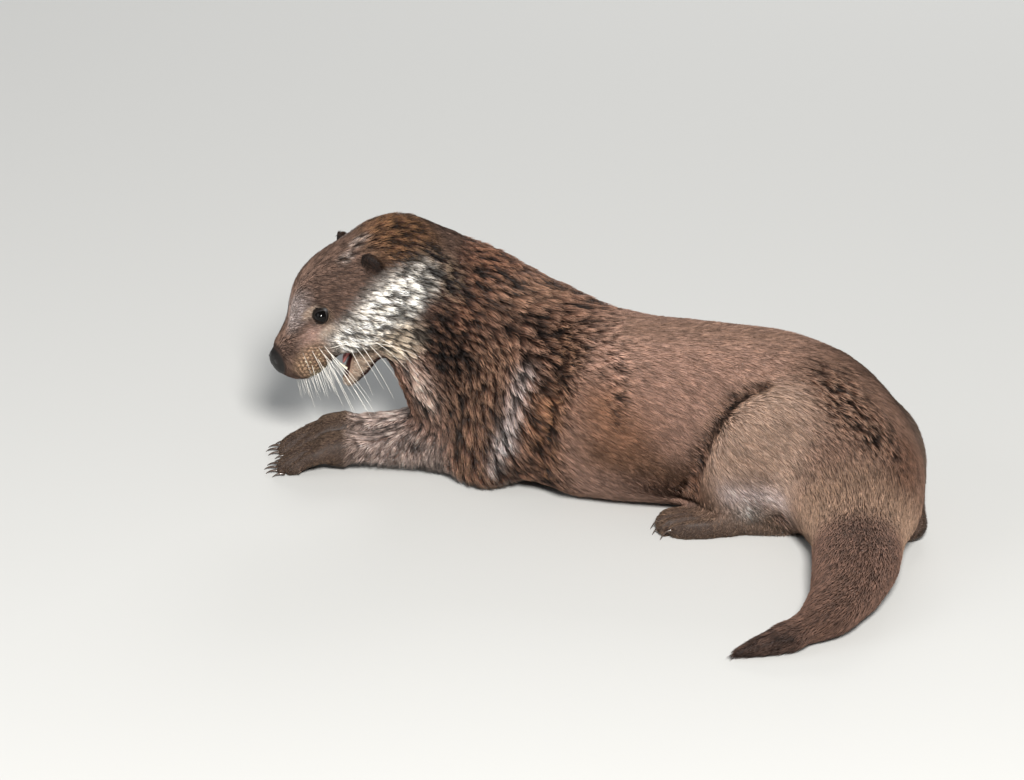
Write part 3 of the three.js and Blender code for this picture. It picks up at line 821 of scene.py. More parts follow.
@dataclass
class Skin:
    """The one skin under the coat, with its labels, lie of hair, and markings with painted light and
    shade among them.

    Attributes:
        voxel: The edge of the cells that join the solids, in mm.
        swell: How far each solid grows to meet its neighbour, in mm.
        point_gap: How far apart the points are that tell which solid is nearest, in mm.
        face_front, face_side, face_low: The skin is finer forward of, between and above these, in
            the head's mm.
        toe_reach: The skin is also finer within this of a toe, in mm.
        name_rounds, wide_rounds: How far coats melt into each other, on the head and on the body.
        blend_rounds, depth_rounds: How far the smoothing and the coat's depth melt.
        depth_share: The depth of the coat, as a share of the rise of its hair.
        clearance: The lowest that the skin may come over the floor, in mm.
        root_share: How much of the roots' and of the middles' colour the skin shows.
        fine_gain, head_gain: How early the fine parts' and the head's own coats set in.
        nose_edge: How far out the nose's colour reaches and how soft its edge is, in its radii.
        rounds: How often the skin is smoothed over each solid.
        dabs: Pushes on the face.
        mesh: The finished skin.
        owners: The flesh solid under each of its vertices, as an index in FLESH.
        growth, tint: Its rows of Growth and Tint values.
    """

    voxel: float = 2.65
    swell: float = 0.3
    point_gap: float = 3.5
    face_front: float = 26.0
    face_side: float = 60.0
    face_low: float = -80.0
    toe_reach: float = 15.0
    name_rounds: int = 8
    wide_rounds: int = 44
    blend_rounds: int = 6
    depth_rounds: int = 16
    depth_share: float = 0.8
    clearance: float = 0.5
    root_share: tuple[float, float] = (0.65, 0.35)
    fine_gain: float = 1.5
    head_gain: float = 1.4
    nose_edge: tuple[float, float] = (1.06, 0.1)
    rounds: dict[str, int] = field(
        default_factory=lambda: {
            "head": 14, "neck": 36, "chest": 40, "loin": 38, "rump": 32, "upper_arm": 26,
            "forearm": 14, "forepaw": 5, "hind_leg": 22, "hind_foot": 5, "tail": 28, "ear": 2,
            "lower_jaw": 5, "nose": 3, "tail_tip": 10,
        }
    )
    dabs: tuple[Dab, ...] = (
        Dab((50.5, 28, 7), 6.5, -1.2),
        Dab((44, 26, 17), 6.5, 1.5),
        Dab((42, 33, 1), 7.0, 0.8),
        Dab((64, 0, 15), 10.0, -0.8),
        Dab((68, 21, 0), 7.0, -1.0),
        Dab((79, 22, -13), 9.0, 1.0),
        Dab((103, 0, -17), 2.6, -1.6),
        Dab((4, 46, -22), 18.0, 1.5),
        Dab((60, 30, -22), 5.0, -0.8),
    )
    mesh: bpy.types.Mesh | None = None
    owners: np.ndarray | None = None
    growth: np.ndarray | None = None
    tint: np.ndarray | None = None

    def swollen_solids(self) -> bpy.types.Mesh:
        """Join copies of the flesh solids, each grown a little to close the cuts between them.

        Returns:
            One mesh of closed shells that overlap.
        """
        whole = bmesh.new()
        for name in FLESH:
            copy = merged_copy(name)
            copy.normal_update()
            for corner in copy.verts:
                corner.co += corner.normal * self.swell * MM
            part = bpy.data.meshes.new(name)
            copy.to_mesh(part)
            copy.free()
            whole.from_mesh(part)
            bpy.data.meshes.remove(part)
        mesh = bpy.data.meshes.new("flesh")
        whole.to_mesh(mesh)
        whole.free()
        return mesh

    def solid_points(self) -> tuple[np.ndarray, np.ndarray]:
        """Spread points over the flesh solids.

        Returns:
            Rows of places, and each one's index in FLESH.
        """
        rng = np.random.default_rng(SEED)
        places, owners = [], []
        for index, name in enumerate(FLESH):
            _, (a, b, c), area = triangles_of(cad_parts[name].data)
            count = np.maximum(1, (area / (self.point_gap * MM) ** 2).astype(int))
            pick = np.repeat(np.arange(len(area)), count)
            u, v = scattered(rng, len(pick))
            places.append(a[pick] + (b - a)[pick] * u[:, None] + (c - a)[pick] * v[:, None])
            owners.append(np.full(len(pick), index))
        return np.concatenate(places), np.concatenate(owners)

    def owners_of(self, places: np.ndarray) -> np.ndarray:
        """Find the flesh solid nearest to each place.

        Args:
            places: Rows of x, y and z.

        Returns:
            An index in FLESH for each row.
        """
        points, owners = self.solid_points()
        tree = kdtree.KDTree(len(points))
        for index, point in enumerate(points):
            tree.insert(point, index)
        tree.balance()
        return owners[np.array([tree.find(place)[1] for place in places])]

    def rounds_for(self, name: str) -> int:
        """Say how often the skin over a solid is smoothed."""
        return self.rounds.get(plain(name), self.rounds["tail"])

    def smooth(self, mesh: bpy.types.Mesh, owners: np.ndarray) -> None:
        """Round off the solids' facets, most on the trunk and least on ears and toes.

        Args:
            mesh: The shell, which is changed.
            owners: The solid under each vertex.
        """
        beside = Neighbours(mesh)
        rounds = np.array([self.rounds_for(name) for name in FLESH], float)[owners][:, None]
        rounds = beside.eased(rounds, self.blend_rounds)
        places = corners_of(mesh)
        for turn in range(int(rounds.max())):
            share = np.clip(rounds - turn, 0, 1) * EASE_TAKEN
            places = places + share * (beside.mean(places) - places)
        move_corners(mesh, places)

    def refine(self, mesh: bpy.types.Mesh) -> None:
        """Give face and toes cells of half the size.

        Args:
            mesh: The shell, which is changed.
        """
        shape = bmesh.new()
        shape.from_mesh(mesh)
        places = corners_of(mesh)
        local = HEAD.inside(places)
        near = (local[:, 0] > self.face_front) & (local[:, 2] > self.face_low)
        near &= np.abs(local[:, 1]) < self.face_side
        for toes in TOES:
            near |= toes.nearest(places)[0] < self.toe_reach * MM
        shape.verts.ensure_lookup_table()
        edges = [e for e in shape.edges if near[e.verts[0].index] and near[e.verts[1].index]]
        bmesh.ops.subdivide_edges(shape, edges=edges, cuts=1, smooth=0.6, use_grid_fill=True)
        shape.to_mesh(mesh)
        shape.free()

    def press(self, mesh: bpy.types.Mesh) -> None:
        """Shape brow, sockets, lips and cheeks, and the creases of the body.

        Args:
            mesh: The skin, which is changed.
        """
        places, normals = corners_of(mesh), normals_of(mesh)
        local = HEAD.inside(places)
        lift = sum(mark.share(places) * mark.out for mark in MARKS)
        for dab in self.dabs:
            lift += dab.lift(local)
        for toes in TOES:
            lift += toes.lift(places)
        move_corners(mesh, places + normals * lift[:, None] * MM)

    def sink(self, mesh: bpy.types.Mesh, depth: np.ndarray) -> None:
        """Draw the skin in by the depth of the coat.

        Args:
            mesh: The skin, which is changed.
            depth: The depth at each vertex, in mm.
        """
        places = corners_of(mesh) - normals_of(mesh) * depth[:, None] * MM
        places[:, 2] = np.maximum(places[:, 2], self.clearance * MM)
        move_corners(mesh, places)

    def recipes(self, mesh: bpy.types.Mesh, shares: np.ndarray) -> tuple[np.ndarray, np.ndarray]:
        """Blend the coat's recipes over the skin.

        Args:
            mesh: The skin.
            shares: How much each vertex belongs to each flesh solid.

        Returns:
            Rows of Growth values, and rows of Tint values.
        """
        hairs, colours = zip(*(COAT_BY_PART[plain(name)] for name in FLESH))
        growth = shares @ np.array([hair.row() for hair in hairs])
        tint = shares @ np.array([colour.row() for colour in colours])
        places = corners_of(mesh)
        for mark in MARKS:
            share = mark.share(places)
            growth = mix(growth, mark.growth.row(), share) if mark.growth else growth
            tint = mix(tint, mark.tint.row(), share) if mark.tint else tint
        local = HEAD.inside(places)
        of_head = sum(shares[:, FLESH.index(name)] for name in SPOTTED_PARTS)
        for spot, hair, colour in HEAD_COAT:
            share = spot.share(local) * np.clip(of_head * self.head_gain, 0, 1)
            growth = mix(growth, hair.row(), share)
            tint = mix(tint, colour.row(), share)
        inside = mouth_inside(local, normals_of(mesh) @ HEAD.axes())
        tint = mix(tint, MOUTH_TINT.row(), inside.astype(float))
        edge, soft = self.nose_edge
        on_nose = np.clip((edge - BARE_NOSE.away(local)) / soft, 0, 1)
        return growth, mix(tint, NOSE_TINT.row(), on_nose)

    def shares_of(self, owners: np.ndarray, beside: Neighbours) -> np.ndarray:
        """Melt the solids' labels into each other, little on the fine parts and more elsewhere.

        Args:
            owners: The solid under each vertex.
            beside: The skin's neighbours.

        Returns:
            How much each vertex belongs to each flesh solid.
        """
        shares = beside.eased(np.eye(len(FLESH))[owners], self.name_rounds)
        wide = beside.eased(shares, self.wide_rounds)
        fine = shares[:, [FLESH.index(name) for name in FINE_PARTS]].sum(1)
        return mix(wide, shares, np.clip(self.fine_gain * fine, 0, 1))

    def build(self) -> bpy.types.Object:
        """Make the skin.

        Returns:
            The skin's object, with its values kept on this class for the coat.
        """
        mesh = even_cells(linked("flesh", self.swollen_solids()), self.voxel)
        log.info("shell: %d faces", len(mesh.polygons))
        self.smooth(mesh, self.owners_of(corners_of(mesh)))
        self.refine(mesh)
        self.mesh, self.owners = mesh, self.owners_of(corners_of(mesh))
        beside = Neighbours(mesh)
        self.growth, self.tint = self.recipes(mesh, self.shares_of(self.owners, beside))
        self.press(mesh)
        rise = beside.eased(self.growth[:, 2:3], self.depth_rounds)[:, 0]
        self.sink(mesh, rise * self.depth_share)
        mesh.name = "skin"
        made = self.unwrapped(mesh)
        self.colour(mesh)
        return made

    def colour(self, mesh: bpy.types.Mesh) -> None:
        """Write the markings, painted shade and painted highlights among them, on the skin.

        Args:
            mesh: The skin.
        """
        of_root, of_middle = self.root_share
        shade = self.tint[:, 3:6] * of_middle + self.tint[:, 0:3] * of_root
        write_colour_and_wet(mesh, shade, self.tint[:, 9])
        shade_smooth(mesh)

    def unwrapped(self, mesh: bpy.types.Mesh) -> bpy.types.Object:
        """Lay the skin's own shape out flat, as the map that each tuft's place is taken from.

        Args:
            mesh: The skin, which gets the map.

        Returns:
            The skin's object.
        """
        made = linked("skin", mesh)
        mesh.uv_layers.new(name=MAP)
        bpy.context.view_layer.objects.active = made
        made.select_set(True)
        bpy.ops.object.mode_set(mode="EDIT")
        bpy.ops.mesh.select_all(action="SELECT")
        bpy.ops.uv.smart_project(angle_limit=math.radians(66), island_margin=0.002)
        bpy.ops.object.mode_set(mode="OBJECT")
        made.select_set(False)
        return made


# ---- the lie of the coat ----


@dataclass
class Lie:
    """Which way the hair lies: guides along the body, each with its own reach.

    Attributes:
        places, ways, reaches: Each guide's place in metres, its direction and its reach in mm.
        steps: Where guides stand between two points of a path.
        faint: How much a guide still counts far beyond its reach.
        trunk, tail: The reach of their guides in mm, and how much the hair also falls there.
        arm, paw, thigh, foot: The reach of their guides, in mm.
    """

    places: list[np.ndarray] = field(default_factory=list)
    ways: list[np.ndarray] = field(default_factory=list)
    reaches: list[float] = field(default_factory=list)
    steps: tuple[float, ...] = (0.1, 0.3, 0.5, 0.7, 0.9)
    faint: float = 1e-5
    trunk: tuple[float, float] = (62, 0.25)
    tail: tuple[float, float] = (34, 0.12)
    arm: float = 26
    paw: float = 22
    thigh: float = 30
    foot: float = 20

    def add(self, place: np.ndarray, way: np.ndarray, reach: float) -> None:
        """Put down one guide.

        Args:
            place: Where, in metres.
            way: The direction that hair lies there.
            reach: How far it counts, in mm.
        """
        self.places.append(np.asarray(place, float))
        self.ways.append(np.asarray(way, float) / np.linalg.norm(way))
        self.reaches.append(reach)

    def along(self, stops: list[np.ndarray], reach: float, drop: float = 0.0) -> None:
        """Put guides along a path.

        Args:
            stops: The path's points, in metres.
            reach: How far each guide counts, in mm.
            drop: How much the hair also falls.
        """
        for start, end in zip(stops[:-1], stops[1:]):
            way = (end - start) / np.linalg.norm(end - start) + np.array([0, 0, -drop])
            for share in self.steps:
                self.add(start + (end - start) * share, way, reach)

    def lay_out(self) -> None:
        """Put down all the guides of the animal."""
        middle = {name: node_middle(name) for name in NODES}
        low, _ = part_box("tail_tip")
        tail_end = np.array([low.x, low.y, 0.004])
        trunk = ["head", "neck", "chest", "loin", "rump"]
        tail = ["rump", "tail_root", "tail_middle", "tail_end", "tail_tip"]
        self.along([middle[name] for name in trunk], *self.trunk)
        self.along([middle[name] for name in tail] + [tail_end], *self.tail)
        for side in SIDES:
            arm, fore = middle[f"upper_arm_{side}"], middle[f"forearm_{side}"]
            paw, thigh = middle[f"forepaw_{side}"], middle[f"hind_leg_{side}"]
            shoulder = arm + np.array([0.01, 0, 0.035])
            elbow = arm + np.array([-0.004, 0, -0.04])
            self.along([shoulder, arm, elbow], self.arm)
            self.along([elbow, fore, paw, paw + (paw - fore)], self.paw)
            self.guide_leg(side, thigh)
        for at, way, reach in HEAD_LIE:
            for sign in (1, -1) if at[1] else (1,):
                flip = np.array([1, sign, 1])
                place = HEAD.outside([np.array(at) * flip])[0]
                self.add(place, HEAD.axes() @ (np.array(way) * flip), reach)

    def guide_leg(self, side: str, thigh: np.ndarray) -> None:
        """Put guides over a thigh and its foot.

        Args:
            side: Left or right.
            thigh: The middle of the thigh.
        """
        low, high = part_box(f"hind_foot_{side}")
        foot = np.array((low + high) / 2)
        long_axis = int(np.argmax((high - low)[:2]))
        toes = foot.copy()
        toes[long_axis] = low[long_axis] if side == "left" else high[long_axis]
        heel = 2 * foot - toes
        down = np.array([0.62, -0.25, -0.75]) if side == "left" else np.array([0.3, 0.5, -0.8])
        for rise in (-0.03, 0.0, 0.03):
            for run in (-0.035, 0.0, 0.035):
                self.add(thigh + np.array([run, 0, rise]), down, self.thigh)
        self.along([heel, foot, toes, 2 * toes - foot], self.foot)

    def at(self, places: np.ndarray, normals: np.ndarray) -> np.ndarray:
        """Give the way that hair lies at each place, flat on the skin.

        Args:
            places: Rows of x, y and z.
            normals: The skin's normals there.

        Returns:
            Rows of unit directions.
        """
        total = np.zeros_like(places)
        for place, way, reach in zip(self.places, self.ways, self.reaches):
            away = np.linalg.norm(places - place, axis=1) / (reach * MM)
            total += (np.exp(-0.5 * away**2) + self.faint / (1 + away**2))[:, None] * way
        flat = total - normals * np.sum(total * normals, axis=1, keepdims=True)
        return unit(flat)


# The lie on the left of the head and along its middle: place, direction and reach of each guide.
HEAD_LIE: list[tuple[tuple[float, ...], tuple[float, ...], float]] = [
    ((92, 0, 8), (-1, 0, 0.3), 9), ((62, 0, 18), (-1, 0, 0.4), 14), ((24, 0, 30), (-1, 0, 0.1), 18),
    ((-16, 0, 31), (-1, 0, -0.2), 20), ((-48, 0, 14), (-0.8, 0, -0.6), 24),
    ((70, 18, 2), (-1, 0.5, 0.1), 8), ((78, 22, -13), (-0.8, 0.3, -0.45), 9),
    ((92, 9, -18), (-0.5, 0.3, -0.8), 8), ((54, 30, -6), (-1, 0.3, -0.15), 10),
    ((40, 30, 18), (-1, 0.35, 0.25), 10), ((60, 22, 16), (-0.9, 0.2, 0.5), 8),
    ((14, 40, 6), (-1, 0.15, 0.1), 15), ((26, 40, -18), (-1, 0.1, 0.18), 15),
    ((0, 46, -18), (-1, 0, 0.2), 16), ((-26, 44, -20), (-1, 0, -0.25), 18),
    ((24, 36, -44), (-1, -0.05, -0.1), 15), ((-8, 26, -58), (-0.9, 0, -0.5), 22),
    ((62, 14, -50), (-0.95, 0.15, -0.15), 12), ((-10, 50, 18), (-0.7, 0.6, 0.35), 8),
]


HASH_STEPS, HASH_SALT, HASH_SPREAD = np.array([127.1, 311.7, 74.7]), 53.3, 43758.5453
WARMER = np.array([1.02, 1.0, 0.97])

# ---- locks of hair ----


@dataclass
class Locks:
    """Many tufts of one form, each a closed tapering blade.

    Attributes:
        form: How many rings each has.
        root, normal, flow: Where it grows, and its directions, as rows.
        length, width, rise: Its sizes in metres, one for each tuft.
        draw: How far its tip is drawn aside, as rows in metres.
        wave: How far its middle swings sideways, in metres.
        colours: Root, middle and tip colours, as rows of nine.
        wet: How wet it is.
        map_at: Its place on the skin's map.
        sunk: How far its root is set into the skin, in mm.
        bend_at: Where along it the bend is.
        bend_draw: How much of the aside draw its bend has.
        ridge: The height of its back, as a share of its width.
        flatter: How much of that height is gone at the tip.
        narrowing: The power by which it narrows.
        late: The power by which it lightens towards the tip.
        lowest: The lowest that a corner may come over the floor, in mm.
    """

    form: Form
    root: np.ndarray
    normal: np.ndarray
    flow: np.ndarray
    length: np.ndarray
    width: np.ndarray
    rise: np.ndarray
    draw: np.ndarray
    wave: np.ndarray
    colours: np.ndarray
    wet: np.ndarray
    map_at: np.ndarray
    sunk: float = 0.35
    bend_at: float = 0.45
    bend_draw: float = 0.25
    ridge: float = 0.45
    flatter: float = 0.6
    narrowing: float = 0.6
    late: float = 1.4
    lowest: float = 0.15

    def faces(self) -> np.ndarray:
        """List one tuft's triangles.

        Returns:
            Rows of three corners, numbered left, right and top for each ring, then the tip.
        """
        rings = self.form.value
        threes = [(0, 2, 1)]
        for ring in range(rings - 1):
            for first, second in ((0, 1), (1, 2), (2, 0)):
                a, b = 3 * ring + first, 3 * ring + second
                threes += [(a, b, b + 3), (a, b + 3, a + 3)]
        last = 3 * (rings - 1)
        tip = last + 3
        threes += [(last, last + 1, tip), (last + 1, last + 2, tip), (last + 2, last, tip)]
        return np.array(threes)

    def corners(self) -> tuple[np.ndarray, np.ndarray, np.ndarray]:
        """Work out where every tuft's corners are, their colours and their places on the map.

        Returns:
            Arrays with one row of corners for each tuft.
        """
        rings = self.form.value
        side = np.cross(self.normal, self.flow)
        tip = self.root + self.flow * self.length[:, None]
        tip = tip + self.normal * self.rise[:, None] + self.draw
        bend = self.root + self.flow * (self.bend_at * self.length)[:, None]
        bend = bend + self.normal * self.rise[:, None] + self.draw * self.bend_draw
        places, shades, spots = [], [], []
        for ring in range(rings + 1):
            t = ring / rings
            centre = self.root * (1 - t) ** 2 + bend * 2 * t * (1 - t) + tip * t * t
            centre = centre + side * (self.wave * math.sin(math.pi * 1.5 * t))[:, None]
            half = (self.width / 2 * (1 - t) ** self.narrowing)[:, None]
            sunk = self.normal * (self.sunk * MM if ring == 0 else 0.0)
            if ring == rings:
                ring_of = [centre]
            else:
                top = self.normal * (self.width * self.ridge * (1 - self.flatter * t))[:, None]
                ring_of = [centre + side * half - sunk, centre - side * half - sunk, centre + top]
            shade = self.shade(t)
            for order, corner in enumerate(ring_of):
                places.append(corner)
                shades.append(shade)
                across = (0.5, -0.5, 0.0)[order] * MAP_PATCH * (1 - t)
                spots.append(self.map_at + np.array([across, (t - 0.5) * MAP_PATCH]))
        return np.stack(places, 1), np.stack(shades, 1), np.stack(spots, 1)

    def shade(self, t: float) -> np.ndarray:
        """Blend the three colours at a share of the way from root to tip.

        Args:
            t: The share, 0 to 1.

        Returns:
            Rows of linear colours.
        """
        low, middle, high = self.colours[:, 0:3], self.colours[:, 3:6], self.colours[:, 6:9]
        if self.form is Form.SHORT and t == 0:
            return low * 0.7 + middle * 0.3
        late = t**self.late
        return low + (middle - low) * min(1, late * 2) + (high - middle) * max(0, late * 2 - 1)

    def mesh(self, name: str) -> bpy.types.Mesh:
        """Make the tufts as one mesh.

        Args:
            name: The mesh's name.

        Returns:
            The mesh, with its colours, wet and map.
        """
        places, shades, spots = self.corners()
        places[:, :, 2] = np.maximum(places[:, :, 2], self.lowest * MM)
        count, each = places.shape[:2]
        one = self.faces()
        every = (one[None] + (np.arange(count) * each)[:, None, None]).reshape(-1, 3)
        flat = (rows.reshape(-1, rows.shape[-1]) for rows in (places, shades, spots))
        places, shades, spots = flat
        mesh = bpy.data.meshes.new(name)
        mesh.vertices.add(len(places))
        mesh.vertices.foreach_set("co", places.astype(np.float32).ravel())
        mesh.loops.add(every.size)
        mesh.loops.foreach_set("vertex_index", every.astype(np.int32).ravel())
        mesh.polygons.add(len(every))
        starts = np.arange(0, every.size, 3, dtype=np.int32)
        mesh.polygons.foreach_set("loop_start", starts)
        mesh.update(calc_edges=True)
        write_colour_and_wet(mesh, shades, np.repeat(self.wet, each))
        on_map = mesh.uv_layers.new(name=MAP).data
        on_map.foreach_set("uv", spots[every.ravel()].astype(np.float32).ravel())
        return mesh


def write_colour_and_wet(mesh: bpy.types.Mesh, shades: np.ndarray, wet: np.ndarray) -> None:
    """Keep colour and wet on a mesh, for its material to read.

    Args:
        mesh: The mesh.
        shades: A linear colour for each vertex.
        wet: How wet each vertex is.
    """
    rgba = np.column_stack([shades, np.ones(len(shades))]).astype(np.float32)
    coat = mesh.color_attributes.new("coat", "FLOAT_COLOR", "POINT").data
    coat.foreach_set("color", rgba.ravel())
    film = mesh.attributes.new("wet", "FLOAT", "POINT").data
    film.foreach_set("value", wet.astype(np.float32))


@dataclass
class Coat:
    """The hair on the skin, in pieces by part of the body.

    Attributes:
        skin: The built skin.
        limit: The most triangles that one piece may have.
        underside, thinned: Skin below this height, in mm, that faces the floor keeps this share.
        stray: How much tufts differ in the way that they lie.
        lengths, widths, rises: The least and the most of a tuft's sizes, as shares of its recipe.
        least_rise, chance_rise, ridge_rise: How high a clump stands, at the least, by chance and
            in its middle.
        stretch: How much longer than wide large clumps are.
        clump_edge: Where a clump's edge begins and how wide it is, in cells.
        soaked: The wet from which clumps get painted glints, and the wet from there to full painted
            glints.
        uneven, clump_contrast: How much the brightness of tufts and of clumps differs.
        painted_ridge_shade: How much brighter a clump's middle is painted than its edge, as painted
            light and shade.
        darkest: The least brightness.
        glint: The painted glint of soaked clumps: the least brightness of a soaked clump, what
            chance adds to it, and its power.
        waviness: How far locks swing, for each unit of shag.
        shag_steps: The shag from which a tuft is bent, and from which it is wavy.
        parts: Each piece's slot, and the parts of the body that it covers.
    """

    skin: Skin
    limit: int = 190000
    underside: float = 9.0
    thinned: float = 0.3
    stray: float = 0.09
    lengths: tuple[float, float] = (0.75, 1.15)
    widths: tuple[float, float] = (0.7, 1.25)
    rises: tuple[float, float] = (0.6, 1.0)
    least_rise: float = 0.85
    chance_rise: float = 0.3
    ridge_rise: float = 0.6
    stretch: float = 0.9
    clump_edge: tuple[float, float] = (0.15, 0.6)
    soaked: tuple[float, float] = (0.7, 0.3)
    uneven: float = 0.12
    clump_contrast: float = 0.6
    painted_ridge_shade: float = 2.3
    darkest: float = 0.12
    glint: tuple[float, float, float] = (0.1, 2.2, 2.5)
    waviness: float = 0.55
    shag_steps: tuple[float, float] = (0.25, 0.7)
    parts: dict[str, tuple[str, tuple[str, ...]]] = field(
        default_factory=lambda: {
            "coat_head": ("cheek_coat", ("head", "lower_jaw", "nose", "ear")),
            "coat_neck": ("nape_coat", ("neck", "chest")),
            "coat_loin": ("coat", ("loin",)),
            "coat_rump": ("coat", ("rump", "hind_leg")),
            "coat_tail": ("tail_coat", ("tail_root", "tail_middle", "tail_end")),
            "coat_tail_tip": ("tail_tip_coat", ("tail_tip",)),
            "coat_shoulder": ("coat", ("upper_arm",)),
            "coat_limbs": ("wet_coat", ("forearm", "forepaw", "hind_foot")),
        }
    )

    def roots(self, rng: np.random.Generator) -> dict[str, np.ndarray]:
        """Scatter the tufts' roots over the skin.

        Args:
            rng: The seeded source of chance.

        Returns:
            Arrays of place, normal, growth, tint, owner and map place for each root.
        """
        mesh = self.skin.mesh
        threes, (a, _, _), area = triangles_of(mesh)
        loops = rows_of(mesh.loop_triangles, "loops", 3, np.int32)
        spots = rows_of(mesh.uv_layers[MAP].data, "uv", 2)
        places, normals = corners_of(mesh), normals_of(mesh)
        hidden = (a[:, 2] < self.underside * MM) & (normals[threes[:, 0], 2] < -0.6)
        wanted = self.skin.growth[threes][:, :, 3].mean(1) * area * PER_CM2
        wanted = wanted * np.where(hidden, self.thinned, 1)
        number = (wanted + rng.random(len(wanted))).astype(int)
        pick = np.repeat(np.arange(len(number)), number)
        u, v = scattered(rng, len(pick))
        weights = np.column_stack([1 - u - v, u, v])[:, :, None]

        def spread(values: np.ndarray, corners: np.ndarray) -> np.ndarray:
            """Read values between three corners."""
            return (values[corners[pick]] * weights).sum(1)

        return {
            "place": spread(places, threes),
            "normal": unit(spread(normals, threes)),
            "growth": spread(self.skin.growth, threes),
            "tint": spread(self.skin.tint, threes),
            "owner": self.skin.owners[threes[pick, 0]],
            "map": spread(spots, loops),
        }

    def kept(self, found: dict[str, np.ndarray]) -> dict[str, np.ndarray]:
        """Leave out roots on the eyes, the nose and the mouth's inside.

        Args:
            found: The roots' arrays.

        Returns:
            The arrays of those that stay.
        """
        keep = np.ones(len(found["place"]), bool)
        for name in EYE_NODES:
            away = np.linalg.norm(found["place"] - node_middle(name), axis=1)
            keep &= away > NO_HAIR_NEAR_EYE * MM
        local = HEAD.inside(found["place"])
        keep &= BARE_NOSE.away(local) > 1
        keep &= ~mouth_inside(local, found["normal"] @ HEAD.axes())
        return {name: values[keep] for name, values in found.items()}

    def clumped(
        self, roots: dict[str, np.ndarray], flow: np.ndarray
    ) -> tuple[np.ndarray, np.ndarray, np.ndarray]:
        """Draw each tuft's tip towards the middle of its clump.

        Args:
            roots: The roots' arrays.
            flow: The way that each tuft lies.

        Returns:
            How far each tip is drawn, in metres, a value from 0 to 1 shared by each clump, and how
            far out in its clump each tuft stands, from 0 to 1.
        """
        place, growth = roots["place"], roots["growth"]
        main = np.argmax(np.abs(flow), axis=1)
        cell = np.round(growth[:, 5:6] * 2) / 2
        stretch = self.stretch * np.eye(3)[main] * np.clip((cell - 3) / 1.5, 0, 1)
        size = cell * MM * (1 + stretch)
        grid = place / size
        base = np.floor(grid)
        best = np.full(len(place), FAR_AWAY)
        nearest = np.zeros_like(place)
        chance = np.zeros(len(place))
        for step in np.ndindex(3, 3, 3):
            cell = base + np.array(step) - 1
            jitter = np.column_stack([hashed(cell, salt) for salt in (1.0, 2.0, 3.0)])
            middle = cell + jitter
            away = np.linalg.norm(middle - grid, axis=1)
            closer = away < best
            best[closer] = away[closer]
            nearest[closer] = middle[closer]
            chance[closer] = hashed(cell, 4.0)[closer]
        pull = nearest * size - place
        pull -= roots["normal"] * np.sum(pull * roots["normal"], axis=1, keepdims=True)
        pull -= flow * np.sum(pull * flow, axis=1, keepdims=True) * (1 - growth[:, 4:5] ** 2)
        edge, width = self.clump_edge
        return pull * growth[:, 4:5], chance, np.clip((best - edge) / width, 0, 1)

    def locks(
        self, rng: np.random.Generator, roots: dict[str, np.ndarray], lie: Lie
    ) -> dict[str, np.ndarray]:
        """Work out every tuft's sizes, bend and colours.

        Args:
            rng: The seeded source of chance.
            roots: The roots' arrays.
            lie: The lie of the coat.

        Returns:
            The arrays that Locks takes, with the owner and shag of each tuft.
        """
        place, normal, growth, tint = (roots[key] for key in ("place", "normal", "growth", "tint"))
        count = len(place)
        flow = lie.at(place, normal)
        side = np.cross(normal, flow)
        flow = unit(flow + side * rng.normal(0, self.stray, count)[:, None])
        draw, chance, outer = self.clumped(roots, flow)
        size = rng.uniform(*self.lengths, count)
        # A clump's middle is painted lighter and its edge darker: painted light and shade on the
        # clumps.
        ridge = growth[:, 4] * (0.5 - outer)
        bright = 1 + rng.normal(0, self.uneven, count)
        bright = bright + (chance - 0.5) * self.clump_contrast + ridge * self.painted_ridge_shade
        # Painted glints: by chance a few soaked clumps are much brighter and most are darker.
        soaked = np.clip((tint[:, 9] - self.soaked[0]) / self.soaked[1], 0, 1)
        least, more, power = self.glint
        bright = (bright * (1 - soaked + soaked * (least + more * chance**power)))[:, None]
        bright = np.maximum(bright, self.darkest)
        bright *= whisker_rows(HEAD.inside(place))[:, None]
        warm = WARMER ** rng.normal(0, 1.0, count)[:, None]
        width = growth[:, 1] * rng.uniform(*self.widths, count)
        higher = self.least_rise + self.chance_rise * chance + self.ridge_rise * ridge
        return {
            "root": place, "normal": normal, "flow": flow,
            "length": growth[:, 0] * size * MM,
            "width": width * MM,
            "rise": growth[:, 2] * rng.uniform(*self.rises, count) * higher * MM,
            "draw": draw,
            "wave": growth[:, 6] * rng.normal(0, self.waviness, count) * MM,
            "colours": np.clip(tint[:, :9] * bright * np.tile(warm, 3), 0, 1),
            "wet": tint[:, 9],
            "map_at": roots["map"],
            "owner": roots["owner"],
            "shag": growth[:, 6] + rng.uniform(-0.15, 0.15, count),
        }

    def build(self, finish: bpy.types.Material) -> None:
        """Grow the coat and dress its pieces.

        Args:
            finish: The hair's material.
        """
        rng = np.random.default_rng(SEED)
        lie = Lie()
        lie.lay_out()
        tufts = self.locks(rng, self.kept(self.roots(rng)), lie)
        forms = np.digitize(tufts.pop("shag"), self.shag_steps) + 1
        owner = tufts.pop("owner")
        for name, (slot, parts) in self.parts.items():
            solids = [index for index, node in enumerate(FLESH) if plain(node) in parts]
            mine = np.isin(owner, solids)
            for form in Form:
                chosen = np.flatnonzero(mine & (forms == form.value))
                if not len(chosen):
                    continue
                chosen = chosen[np.argsort(tufts["root"][chosen, 0], kind="stable")]
                pieces = math.ceil(len(chosen) * form.triangles() / self.limit)
                for index, share in enumerate(np.array_split(chosen, pieces)):
                    title = f"{name}_{form.name.lower()}_{index + 1}"
                    few = {key: values[share] for key, values in tufts.items()}
                    mesh = Locks(form=form, **few).mesh(title)
                    dress(linked(title, mesh), finish, slot)


